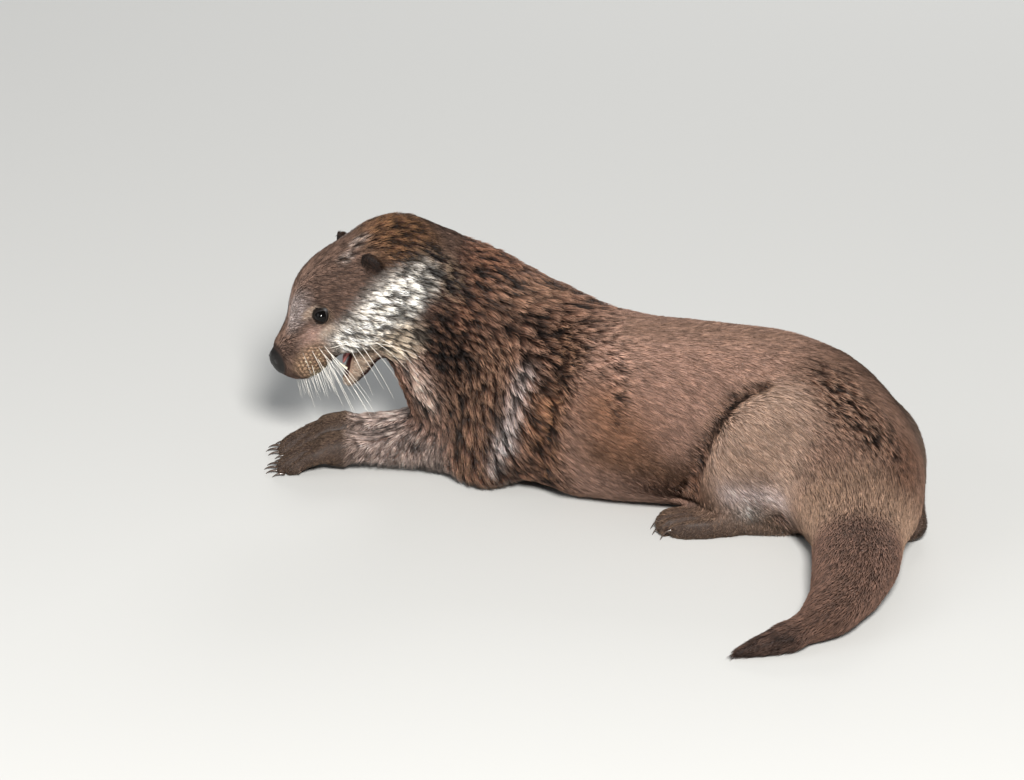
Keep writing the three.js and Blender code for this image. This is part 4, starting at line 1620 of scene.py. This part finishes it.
def hashed(cells: np.ndarray, salt: float) -> np.ndarray:
    """Give each grid cell a steady value from 0 to 1.

    Args:
        cells: Rows of whole numbers.
        salt: Makes one set of values differ from another.

    Returns:
        One value for each row.
    """
    mixed = cells @ HASH_STEPS + salt * HASH_SALT
    return np.modf(np.abs(np.sin(mixed) * HASH_SPREAD))[0]


def whisker_rows(local: np.ndarray) -> np.ndarray:
    """Say how bright the whisker pads' rows of beads are.

    Args:
        local: Rows of forward, left and up, in mm.

    Returns:
        A factor for each row, 1 away from the pads.
    """
    row_gap, bead_gap, darkest, brightest = 3.0, 3.5, 0.1, 2.3
    row = (local[:, 2] + 0.25 * local[:, 0]) / row_gap
    column = (local[:, 0] - 0.3 * local[:, 2]) / bead_gap + 0.5 * np.round(row)
    bead = 0.5 + 0.25 * (np.cos(math.tau * row) + np.cos(math.tau * column))
    return 1 + PAD.share(local) * (darkest + brightest * bead**1.6 - 1)


def within(local: np.ndarray, low: tuple[float, ...], high: tuple[float, ...]) -> np.ndarray:
    """Say which places, folded onto the left side, are between two corners of a box."""
    return ((folded(local) > low) & (folded(local) < high)).all(axis=1)


def mouth_inside(local: np.ndarray, facing: np.ndarray) -> np.ndarray:
    """Say which places are inside the open mouth: on the palate or on top of the jaw.

    Args:
        local: Rows of forward, left and up, in mm.
        facing: The skin's normals there, in the same axes.

    Returns:
        True for each row inside.
    """
    turned = np.array(Matrix.Rotation(math.radians(JAW_OPENING), 3, "Y"))
    palate = within(local, *PALATE) & (facing[:, 2] < -0.4)
    floor = within((local - JAW_HINGE) @ turned, *JAW_TOP) & ((facing @ turned)[:, 2] > 0.5)
    return palate | floor


# ---- finishes ----


class Nodes:
    """A short way to lay out a node tree."""

    def __init__(self, tree: bpy.types.NodeTree) -> None:
        """Keep the tree.

        Args:
            tree: The material's or group's tree.
        """
        self.tree = tree

    def add(self, kind: str, **values: object) -> bpy.types.Node:
        """Add a node and set its inputs or properties by name.

        Args:
            kind: The node's type.
            values: Properties, or inputs where the name has a capital letter.

        Returns:
            The node.
        """
        node = self.tree.nodes.new(kind)
        for name, value in values.items():
            if name[0].isupper():
                node.inputs[name.replace("_", " ")].default_value = value
            else:
                setattr(node, name, value)
        return node

    def join(self, source: bpy.types.NodeSocket, target: bpy.types.NodeSocket) -> None:
        """Link two sockets."""
        self.tree.links.new(source, target)


def new_finish(name: str) -> tuple[bpy.types.Material, Nodes, bpy.types.Node]:
    """Start a material.

    Args:
        name: Its name.

    Returns:
        The material, its nodes and its shader.
    """
    made = bpy.data.materials.new(name)
    made.use_nodes = True
    return made, Nodes(made.node_tree), made.node_tree.nodes["Principled BSDF"]


def hair_grain() -> bpy.types.NodeTree:
    """Build the group that varies a coat's colour and gloss along and between hairs.

    Returns:
        The group, built once.
    """
    if "hair_grain" in bpy.data.node_groups:
        return bpy.data.node_groups["hair_grain"]
    group = bpy.data.node_groups.new("hair_grain", "ShaderNodeTree")
    face = group.interface
    for name, kind, value in (
        ("Colour", "NodeSocketColor", (1, 1, 1, 1)), ("Wet", "NodeSocketFloat", 0.0),
        ("Fineness", "NodeSocketFloat", 900.0), ("Contrast", "NodeSocketFloat", 0.2),
        ("Dry Roughness", "NodeSocketFloat", 0.6), ("Wet Roughness", "NodeSocketFloat", 0.25),
    ):
        face.new_socket(name, in_out="INPUT", socket_type=kind).default_value = value
    for name, kind in (
        ("Colour", "NodeSocketColor"), ("Roughness", "NodeSocketFloat"),
        ("Height", "NodeSocketFloat"), ("Film", "NodeSocketFloat"),
    ):
        face.new_socket(name, in_out="OUTPUT", socket_type=kind)
    nodes = Nodes(group)
    given, given_out = nodes.add("NodeGroupInput"), nodes.add("NodeGroupOutput")
    place = nodes.add("ShaderNodeTexCoord")
    noise = nodes.add("ShaderNodeTexNoise", Detail=3.0, Roughness=0.6)
    nodes.join(place.outputs["Object"], noise.inputs["Vector"])
    nodes.join(given.outputs["Fineness"], noise.inputs["Scale"])
    centred = nodes.add("ShaderNodeMath", operation="SUBTRACT")
    centred.inputs[1].default_value = 0.5
    nodes.join(noise.outputs["Fac"], centred.inputs[0])
    scaled = nodes.add("ShaderNodeMath", operation="MULTIPLY_ADD")
    scaled.inputs[2].default_value = 1.0
    nodes.join(centred.outputs[0], scaled.inputs[0])
    nodes.join(given.outputs["Contrast"], scaled.inputs[1])
    tone = nodes.add("ShaderNodeVectorMath", operation="SCALE")
    nodes.join(given.outputs["Colour"], tone.inputs[0])
    nodes.join(scaled.outputs[0], tone.inputs["Scale"])
    nodes.join(tone.outputs[0], given_out.inputs["Colour"])
    gloss = nodes.add("ShaderNodeMapRange")
    nodes.join(given.outputs["Wet"], gloss.inputs["Value"])
    nodes.join(given.outputs["Dry Roughness"], gloss.inputs["To Min"])
    nodes.join(given.outputs["Wet Roughness"], gloss.inputs["To Max"])
    nodes.join(gloss.outputs[0], given_out.inputs["Roughness"])
    film = nodes.add("ShaderNodeMapRange")
    film.inputs["From Min"].default_value, film.inputs["To Max"].default_value = 0.3, 0.4
    nodes.join(given.outputs["Wet"], film.inputs["Value"])
    nodes.join(film.outputs[0], given_out.inputs["Film"])
    nodes.join(noise.outputs["Fac"], given_out.inputs["Height"])
    return group


@dataclass(frozen=True)
class FurFinish:
    """Hair, or the skin below it, coloured by the markings that it carries.

    Attributes:
        name: The material's name.
        fineness: How fine its grain is, for each metre.
        contrast: How strong its grain is.
        dry: Its roughness where dry.
        wet: Its roughness where wet.
        bump: How far the grain stands out, in mm.
        shine: How strongly it mirrors.
        film_roughness: The roughness of its film of water.
    """

    name: str
    fineness: float = 700.0
    contrast: float = 0.5
    dry: float = 0.52
    wet: float = 0.24
    bump: float = 0.0
    shine: float = 0.3
    film_roughness: float = 0.25

    def material(self) -> bpy.types.Material:
        """Lay out the shader.

        Returns:
            The new material.
        """
        made, nodes, shader = new_finish(self.name)
        colour = nodes.add("ShaderNodeAttribute", attribute_name="coat")
        wet = nodes.add("ShaderNodeAttribute", attribute_name="wet")
        grain = nodes.add("ShaderNodeGroup", node_tree=hair_grain())
        for name, value in (
            ("Fineness", self.fineness), ("Contrast", self.contrast),
            ("Dry Roughness", self.dry), ("Wet Roughness", self.wet),
        ):
            grain.inputs[name].default_value = value
        nodes.join(colour.outputs["Color"], grain.inputs["Colour"])
        nodes.join(wet.outputs["Fac"], grain.inputs["Wet"])
        nodes.join(grain.outputs["Colour"], shader.inputs["Base Color"])
        nodes.join(grain.outputs["Roughness"], shader.inputs["Roughness"])
        nodes.join(grain.outputs["Film"], shader.inputs["Coat Weight"])
        shader.inputs["Specular IOR Level"].default_value = self.shine
        shader.inputs["Coat Roughness"].default_value = self.film_roughness
        if self.bump:
            bump = nodes.add("ShaderNodeBump", Strength=1.0, Distance=self.bump * MM)
            nodes.join(grain.outputs["Height"], bump.inputs["Height"])
            nodes.join(bump.outputs["Normal"], shader.inputs["Normal"])
        return made


@dataclass(frozen=True)
class MoistFinish:
    """Bare moist skin, horn, teeth or an eye: a colour with fine pits and a wet gloss.

    Attributes:
        name: The material's name.
        dark, light: The colours between its pits.
        fineness: How fine the pits are, for each metre.
        roughness: Its roughness.
        coat: The weight of the wet layer.
        pit: How deep the pits are, in mm.
        shine: How strongly it mirrors.
    """

    name: str
    dark: int
    light: int
    fineness: float
    roughness: float
    coat: float = 0.0
    pit: float = 0.05
    shine: float = 0.5

    def material(self) -> bpy.types.Material:
        """Lay out the shader.

        Returns:
            The new material.
        """
        made, nodes, shader = new_finish(self.name)
        place = nodes.add("ShaderNodeTexCoord")
        cells = nodes.add("ShaderNodeTexVoronoi", Scale=self.fineness)
        nodes.join(place.outputs["Object"], cells.inputs["Vector"])
        ramp = nodes.add("ShaderNodeValToRGB")
        for stop, code in zip(ramp.color_ramp.elements, (self.dark, self.light)):
            stop.color = (*paint(code), 1)
        nodes.join(cells.outputs["Distance"], ramp.inputs["Fac"])
        nodes.join(ramp.outputs["Color"], shader.inputs["Base Color"])
        bump = nodes.add("ShaderNodeBump", Strength=1.0, Distance=self.pit * MM)
        nodes.join(cells.outputs["Distance"], bump.inputs["Height"])
        nodes.join(bump.outputs["Normal"], shader.inputs["Normal"])
        for name, value in (
            ("Roughness", self.roughness), ("Coat Weight", self.coat),
            ("Coat Roughness", 0.05), ("Specular IOR Level", self.shine),
        ):
            shader.inputs[name].default_value = value
        return made


EYE_GLOSS = MoistFinish("eye_gloss", 0x010101, 0x080504, 900, 0.06, 0.0, 0.0, 0.22)
LID_SKIN = MoistFinish("lid_skin", 0x060404, 0x16100D, 1400, 0.5, 0.0, 0.05, 0.3)
NOSE_LEATHER = MoistFinish("nose_leather", 0x050303, 0x140E0C, 1500, 0.4, 0.1, 0.14, 0.35)
TONGUE_SKIN = MoistFinish("tongue_skin", 0x7A3F3C, 0xA9625B, 1800, 0.4, 0.4, 0.15)
TOOTH_ENAMEL = MoistFinish("tooth_enamel", 0xCFC3A6, 0xE9E0C8, 500, 0.28, 0.4, 0.02)
WHISKER_HAIR = MoistFinish("whisker_hair", 0xE4DCD0, 0xFFFBF2, 400, 0.35, 0.0, 0.0)
CLAW_HORN = MoistFinish("claw_horn", 0x1A110D, 0x4A382C, 700, 0.35, 0.2, 0.03)
UNDER_FUR = FurFinish("under_fur", 900, 0.5, 0.7, 0.35, 0.35)
HAIR = FurFinish("hair")

# ---- pieces of the face ----


@dataclass
class Eyes:
    """The eyeballs and their lids.

    Attributes:
        radius: Of the ball, in mm.
        gaze: The way that the left eye looks, in the head's axes.
        opening: Half the width and height between the lids, in mm.
        bulge: How far the cornea stands out, in mm, and how wide it is, in radii.
        rim: The lids' section: how far out from their edge and how high over the ball, in mm.
        turning: The distance from the axis at which that section is spun, in mm.
        corners: How far the rear and the front corner of the opening run out, in mm, and the
            square of how wide each is, in radians.
    """

    radius: float = 6.2
    gaze: tuple[float, float, float] = (0.42, 0.88, 0.22)
    opening: tuple[float, float] = (5.2, 4.5)
    bulge: tuple[float, float] = (0.5, 0.55)
    rim: tuple[tuple[float, float], ...] = (
        (0.0, 0.1), (0.25, 0.42), (0.8, 0.5), (1.7, 0.1),
        (3.4, -1.2), (2.6, -2.6), (0.9, -1.0), (0.1, -0.5),
    )
    turning: float = 5.0
    corners: tuple[tuple[float, float], tuple[float, float]] = ((0.5, 0.08), (1.0, 0.06))

    def axes(self, side: float) -> Matrix:
        """Give an eye's axes, with Z along its gaze and X towards its rear corner.

        Args:
            side: 1 for the left eye, -1 for the right.

        Returns:
            The move from the eye's own millimetres to the model's metres.
        """
        gaze = Vector((self.gaze[0], self.gaze[1] * side, self.gaze[2])).normalized()
        back = Vector((-1, 0.1 * side, 0.25))
        across = (back - gaze * back.dot(gaze)).normalized()
        up = gaze.cross(across)
        turn = Matrix((across, up, gaze)).transposed().to_4x4()
        at = Vector((HEAD.eye[0], HEAD.eye[1] * side, HEAD.eye[2]))
        return HEAD.matrix() @ Matrix.Translation(at) @ turn

    def ball(self, name: str, side: float) -> bpy.types.Object:
        """Make one eyeball with the bulge of its cornea.

        Args:
            name: The piece's name.
            side: 1 for the left eye, -1 for the right.

        Returns:
            The eyeball's object.
        """
        shape = bmesh.new()
        bmesh.ops.create_uvsphere(shape, u_segments=40, v_segments=28, radius=self.radius)
        height, width = self.bulge
        for corner in shape.verts:
            off_axis = math.hypot(corner.co.x, corner.co.y) / self.radius
            if corner.co.z > 0:
                corner.co.z += height * math.exp(-((off_axis / width) ** 2))
        bmesh.ops.transform(shape, matrix=self.axes(side), verts=shape.verts)
        return from_bmesh(name, shape)

    def surface(self, radius: float) -> float:
        """Give the ball's height at a distance from its axis."""
        return math.sqrt(self.radius**2 - min(radius, self.radius * 0.97) ** 2)

    def lids(self, name: str, side: float) -> bpy.types.Object:
        """Make one eye's lids: a thin rim on the ball that runs back under the hair round it.

        Args:
            name: The piece's name.
            side: 1 for the left eye, -1 for the right.

        Returns:
            The lids' object.
        """
        shape = bmesh.new()
        section = [shape.verts.new((self.turning + out, 0, rise)) for out, rise in self.rim]
        edges = [shape.edges.new((a, b)) for a, b in zip(section, section[1:] + section[:1])]
        bmesh.ops.spin(
            shape, geom=section + edges, cent=(0, 0, 0), axis=(0, 0, 1),
            angle=math.tau, steps=44, use_merge=True,
        )
        wide, tall = self.opening
        (rear, rear_width), (front, front_width) = self.corners
        for corner in shape.verts:
            angle = math.atan2(corner.co.y, corner.co.x)
            out = math.hypot(corner.co.x, corner.co.y) - self.turning
            radius = wide * tall / math.hypot(tall * math.cos(angle), wide * math.sin(angle))
            radius += front * math.exp(-((abs(angle) - math.pi) ** 2) / front_width)
            radius += rear * math.exp(-(angle**2) / rear_width) + out
            height = self.surface(radius) + corner.co.z
            corner.co = Vector((radius * math.cos(angle), radius * math.sin(angle), height))
        bmesh.ops.transform(shape, matrix=self.axes(side), verts=shape.verts)
        return from_bmesh(name, shape)

    def build(self) -> None:
        """Make both eyes."""
        ball, rim = EYE_GLOSS.material(), LID_SKIN.material()
        for name, side in SIDES.items():
            dress(self.ball(f"eyeball_{name}", side), ball, "eye", f"eye_{name}")
            dress(self.lids(f"lids_{name}", side), rim, "nose_skin")


@dataclass
class Nose:
    """The bare pad at the end of the muzzle, with its nostrils.

    Attributes:
        voxel: The edge of its cells, in mm.
        easing: How many times it is smoothed.
        sunk: How far it sits back, in mm, to lie level with the skin round it.
        scale: How much smaller it is than the solid forward, sideways and up.
        presses: Pushes on it, as for the skin.
    """

    voxel: float = 0.7
    easing: int = 22
    sunk: float = 1.1
    scale: tuple[float, float, float] = (1.0, 0.95, 0.92)
    presses: tuple[Dab, ...] = (
        Dab((102.5, 4.6, -5.5), 2.3, -3.4),
        Dab((99.5, 8.6, -7.0), 2.0, -2.6),
        Dab((97.0, 11.0, -8.5), 1.6, -1.4),
        Dab((103, 0, 1), 6.0, 1.1),
        Dab((101, 7.5, 1), 4.0, 0.9),
        Dab((103, 0, -10), 1.7, -1.4),
    )

    def build(self) -> None:
        """Make the pad from the nose's solid."""
        rough = from_bmesh("nose_rough", merged_copy("nose"))
        mesh = even_cells(rough, self.voxel, self.easing)
        places, normals = corners_of(mesh), normals_of(mesh)
        local = HEAD.inside(places)
        lift = sum(press.lift(local) for press in self.presses)
        local = HEAD.inside(places + normals * lift[:, None] * MM)
        middle = local.mean(axis=0)
        local = middle + (local - middle) * self.scale - [self.sunk, 0, 0]
        move_corners(mesh, HEAD.outside(local))
        shade_smooth(mesh)
        mesh.name = "nose_pad"
        dress(linked("nose_pad", mesh), NOSE_LEATHER.material(), "nose_skin", "nose")


@dataclass
class Mouth:
    """The tongue and the teeth that the open mouth shows, set in the head's axes.

    Attributes:
        tongue_at: The tongue's middle, in the jaw's mm.
        tongue_size: Half its length, width and thickness.
        groove: The depth and the half width of its groove, in half thicknesses and widths.
        bend_at, taper: Where a tooth bends, and the share of its thickness left at its tip.
    """

    tongue_at: tuple[float, float, float] = (38, 0, 6.5)
    tongue_size: tuple[float, float, float] = (19, 5.4, 2.8)
    groove: tuple[float, float] = (0.35, 0.22)
    bend_at: float = 0.55
    taper: float = 0.25

    def jaw(self) -> Matrix:
        """Give the move from the jaw's own millimetres to the model's metres."""
        drop = Matrix.Rotation(math.radians(JAW_OPENING), 4, "Y")
        return HEAD.matrix() @ Matrix.Translation(Vector(JAW_HINGE)) @ drop

    def tooth(
        self, shape: bmesh.types.BMesh, place: Matrix, at: tuple[float, float, float],
        size: tuple[float, float], lean: tuple[float, float], up: float,
    ) -> None:
        """Add one tooth, a bent tapering rod.

        Args:
            shape: The bmesh to add to.
            place: The jaw's or head's move.
            at: The middle of its root.
            size: Its radius and length.
            lean: How far its tip leans forward and out.
            up: 1 if it points up, -1 if down.
        """
        radius, length = size
        root = Vector(at)
        bend = root + Vector((0, 0, up * length * self.bend_at))
        tip = root + Vector((lean[0], lean[1], up * length))
        stops = [np.array(place @ stop) for stop in (root, bend, tip)]
        Strand(*stops, radius * MM, self.taper).add_to(shape, rings=6, sides=10)

    def teeth(self) -> bpy.types.Object:
        """Make the canines of both jaws and the upper incisors.

        Returns:
            The teeth, as one object.
        """
        shape = bmesh.new()
        head, jaw = HEAD.matrix(), self.jaw()
        for sign in (1, -1):
            self.tooth(shape, head, (80, 7.5 * sign, -22), (1.2, 8.5), (-0.8, 0.3 * sign), -1)
            self.tooth(shape, jaw, (59, 4.0 * sign, 1), (1.1, 5.5), (-1.0, 0.2 * sign), 1)
            for order in range(3):
                at = (87 - order * 0.8, (1.0 + 1.8 * order) * sign, -21)
                self.tooth(shape, head, at, (0.7, 4), (0, 0), -1)
        return from_bmesh("teeth", shape)

    def tongue(self) -> bpy.types.Object:
        """Make the tongue, narrower and bent down at its ends, with a groove along it.

        Returns:
            The tongue's object.
        """
        shape = bmesh.new()
        bmesh.ops.create_uvsphere(shape, u_segments=32, v_segments=20, radius=1)
        long, wide, thick = self.tongue_size
        depth, width = self.groove
        for corner in shape.verts:
            x, y, z = corner.co
            groove = depth * math.exp(-((y / width) ** 2)) if z > 0 else 0.0
            corner.co = Vector((x * long, y * (wide - x), (z - groove) * thick - 1.5 * x * x))
        place = self.jaw() @ Matrix.Translation(self.tongue_at)
        bmesh.ops.transform(shape, matrix=place, verts=shape.verts)
        return from_bmesh("tongue", shape)

    def build(self) -> None:
        """Make tongue and teeth."""
        pink, ivory = TONGUE_SKIN.material(), TOOTH_ENAMEL.material()
        dress(self.tongue(), pink, "nose_skin")
        dress(self.teeth(), ivory, "cheek_coat")


@dataclass
class Strand:
    """A round hair or claw: a bent tapering rod.

    Attributes:
        root, bend, tip: The three points of its curve, in metres.
        radius: At its root, in metres.
        taper: The share of the radius left at the tip.
    """

    root: np.ndarray
    bend: np.ndarray
    tip: np.ndarray
    radius: float
    taper: float = 0.2

    def add_to(self, shape: bmesh.types.BMesh, rings: int = 9, sides: int = 5) -> None:
        """Loft the rod into a bmesh.

        Args:
            shape: The bmesh.
            rings: How many rings it has.
            sides: How many corners each ring has.
        """
        before = None
        for ring in range(rings):
            t = ring / (rings - 1)
            centre = self.root * (1 - t) ** 2 + self.bend * 2 * t * (1 - t) + self.tip * t * t
            way = (self.bend - self.root) * (1 - t) + (self.tip - self.bend) * t
            radius = self.radius * (1 - (1 - self.taper) * t)
            turn = Vector(way).normalized().to_track_quat("Z", "X").to_matrix().to_4x4()
            made = bmesh.ops.create_circle(
                shape, segments=sides, radius=radius, cap_ends=ring in (0, rings - 1),
                matrix=Matrix.Translation(Vector(centre)) @ turn,
            )["verts"]
            if before is not None:
                for k in range(sides):
                    other = (k + 1) % sides
                    shape.faces.new((before[k], before[other], made[other], made[k]))
            before = made


@dataclass
class Whiskers:
    """The stiff white hairs of the muzzle, lips and cheeks, rooted on the skin.

    Attributes:
        skin: The built skin.
        radius: Of a long hair at its root, in mm.
        stray: How much their directions differ.
        sag: The way that their tips fall, in the model's axes.
        rearmost: No hair is rooted behind this, in the head's mm.
        clearance: The lowest that a tip may come over the floor, in mm.
    """

    skin: Skin
    radius: float = 0.26
    stray: float = 0.09
    sag: tuple[float, float, float] = (0.16, -0.04, -0.62)
    rearmost: float = 5.0
    clearance: float = 2.0

    def root_near(self, tree: kdtree.KDTree, at: tuple[float, float, float]) -> np.ndarray:
        """Find the skin nearest to a place in the head's axes."""
        return np.array(tree.find(HEAD.outside([at])[0])[0])

    def rows(
        self, rng: np.random.Generator
    ) -> list[tuple[tuple[float, ...], tuple[float, ...], float]]:
        """List the hairs of one side.

        Args:
            rng: The seeded source of chance.

        Returns:
            Each hair's place, its direction at the root, and its length in mm.
        """
        found = []
        for row in range(4):
            for column in range(4):
                at = (80 - column * 5.0 + row, 19 + column * 2.2, -8 - row * 5.0 - column * 0.8)
                length = 20 + column * 11 - abs(row - 1.5) * 3 + rng.normal(0, 3)
                way = (0.42 - column * 0.15, 0.5 - column * 0.04, -0.8)
                found.append((at, way, max(12.0, length)))
        for column in range(20):
            at = (96 - column * 1.5, 8 + column * 0.85, -23 - column * 0.15)
            found.append((at, (0.55 - column * 0.01, 0.22, -0.85), 10 + rng.uniform(0, 13)))
        for column in range(6):
            at = (52 - column * 4.5, 33 + column * 0.8, -25 - column * 1.2)
            found.append((at, (0.2 - column * 0.11, 0.42, -0.85), 34 + rng.uniform(0, 14)))
        found.append(((64, 27, -16), (-0.75, 0.6, -0.25), 88.0))
        return found

    def build(self) -> None:
        """Make all the whiskers of both sides as one piece."""
        rng = np.random.default_rng(SEED + 1)
        places = corners_of(self.skin.mesh)
        local = HEAD.inside(places)
        tree = kdtree.KDTree(len(places))
        for index in np.flatnonzero(local[:, 0] > self.rearmost):
            tree.insert(places[index], int(index))
        tree.balance()
        shape = bmesh.new()
        for sign in (1, -1):
            for at, way, length in self.rows(rng):
                spread = rng.normal(0, self.stray, 3)
                root = self.root_near(tree, (at[0], at[1] * sign, at[2]))
                out = HEAD.axes() @ (np.array([way[0], way[1] * sign, way[2]]) + spread)
                out = out / np.linalg.norm(out)
                bend = root + out * length * 0.5 * MM
                tip = bend + (out * 0.7 + np.array(self.sag)) * length * 0.5 * MM
                tip[2] = max(tip[2], self.clearance * MM)
                radius = self.radius * MM * (0.45 + length / 140)
                Strand(root, bend, tip, radius).add_to(shape)
        dress(from_bmesh("whiskers", shape), WHISKER_HAIR.material(), "cheek_coat")


@dataclass
class Claws:
    """The small dark claws at the tips of the toes. Lengths are in mm.

    Attributes:
        length: From root to tip.
        bend_at, arch: How far along the bend is, and how high it stands.
        radius, taper: At the root, and the share of it left at the tip.
        root_height, tip_height: The least height of the root, and the height of the tip.
    """

    length: float = 10.0
    bend_at: float = 6.5
    arch: float = 1.2
    radius: float = 1.25
    taper: float = 0.16
    root_height: float = 2.8
    tip_height: float = 0.7

    def build(self) -> None:
        """Make all the claws as one piece."""
        shape = bmesh.new()
        for toes in TOES:
            for _, middle, tip in toes.axes():
                way = (tip - middle) * [1, 1, 0]
                way = way / np.linalg.norm(way)
                root = tip + way * toes.thickness * 0.1 * MM
                root[2] = max(tip[2] + toes.thickness * 0.3 * MM, self.root_height * MM)
                end = root + way * self.length * MM
                end[2] = self.tip_height * MM
                bend = root + way * self.bend_at * MM + np.array([0, 0, self.arch * MM])
                claw = Strand(root, bend, end, self.radius * MM, self.taper)
                claw.add_to(shape, rings=8, sides=10)
        dress(from_bmesh("claws", shape), CLAW_HORN.material(), "wet_coat")


# ---- the studio ----


@dataclass
class Studio:
    """A pale floor, soft lamps and the camera.

    Attributes:
        aim: What the camera looks at, from the middle of the skull, in mm.
        distance: From there to the camera, in metres.
        elevation: How far the camera looks down, in degrees.
        lens: Its focal length, in mm.
        lamps: Each lamp's name, place and size in metres, power in watts, and how much less blue
            than white it is.
        sky: The colour and strength of the light from all round.
        paper: The floor's colour.
    """

    aim: tuple[float, float, float] = (114.4, -68.6, -74.7)
    distance: float = 5.5
    elevation: float = 20.0
    lens: float = 248.0
    lamps: tuple[tuple[str, tuple[float, float, float], float, float, float], ...] = (
        ("key", (0.3, -4.4, 2.7), 0.8, 520, 0.05),
        ("fill", (-2.6, -1.2, 1.4), 2.0, 18, 0.0),
        ("back", (0.6, 3.2, 1.3), 1.4, 34, 0.0),
    )
    sky: tuple[tuple[float, float, float, float], float] = ((0.9, 0.95, 1.0, 1), 0.2)
    paper: tuple[float, float, float, float] = (0.6, 0.6, 0.585, 1)

    def floor(self) -> None:
        """Make the floor."""
        shape = bmesh.new()
        bmesh.ops.create_grid(shape, x_segments=1, y_segments=1, size=12)
        floor = from_bmesh("studio_floor", shape)
        finish, _, shader = new_finish("studio_paper")
        shader.inputs["Base Color"].default_value = self.paper
        shader.inputs["Roughness"].default_value = 0.9
        floor.data.materials.append(finish)

    def lamp(
        self, name: str, place: tuple[float, float, float], size: float, power: float, warm: float
    ) -> None:
        """Hang one soft lamp that faces the animal.

        Args:
            name: The lamp's name.
            place: Where it hangs, in metres.
            size: Its edge, in metres.
            power: Its power, in watts.
            warm: How much less blue it is.
        """
        light = bpy.data.lights.new(name, "AREA")
        light.shape, light.size, light.energy = "SQUARE", size, power
        light.color = (1.0, 1.0 - warm * 0.4, 1.0 - warm)
        lamp = bpy.data.objects.new(name, light)
        lamp.location = place
        lamp.rotation_euler = (-Vector(place)).to_track_quat("-Z", "Y").to_euler()
        bpy.context.scene.collection.objects.link(lamp)

    def camera(self) -> None:
        """Set the camera."""
        lens = bpy.data.cameras.new("camera")
        lens.lens, lens.sensor_width = self.lens, 36.0
        lens.clip_end = 100
        camera = bpy.data.objects.new("camera", lens)
        tilt = math.radians(self.elevation)
        aim = Vector(HEAD.origin()) + Vector(self.aim) * MM
        camera.location = aim + Vector((0, -math.cos(tilt), math.sin(tilt))) * self.distance
        camera.rotation_euler = (math.pi / 2 - tilt, 0, 0)
        bpy.context.scene.collection.objects.link(camera)
        bpy.context.scene.camera = camera

    def build(self) -> None:
        """Set up floor, lamps, sky and camera."""
        self.floor()
        self.camera()
        for lamp in self.lamps:
            self.lamp(*lamp)
        world = bpy.data.worlds.new("sky")
        world.use_nodes = True
        sky = world.node_tree.nodes["Background"]
        sky.inputs["Color"].default_value, sky.inputs["Strength"].default_value = self.sky
        bpy.context.scene.world = world
        bpy.context.scene.view_settings.view_transform = "Standard"


def main() -> None:
    """Build the animal and its studio."""
    logging.basicConfig(level=logging.INFO, format="%(name)s: %(message)s")
    Studio().build()
    skin = Skin()
    body = skin.build()
    dress(body, UNDER_FUR.material(), "coat", *[name for name in FLESH if name != "nose"])
    Coat(skin).build(HAIR.material())
    Eyes().build()
    Nose().build()
    Mouth().build()
    Whiskers(skin).build()
    Claws().build()
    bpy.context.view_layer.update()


if __name__ == "__main__":
    main()
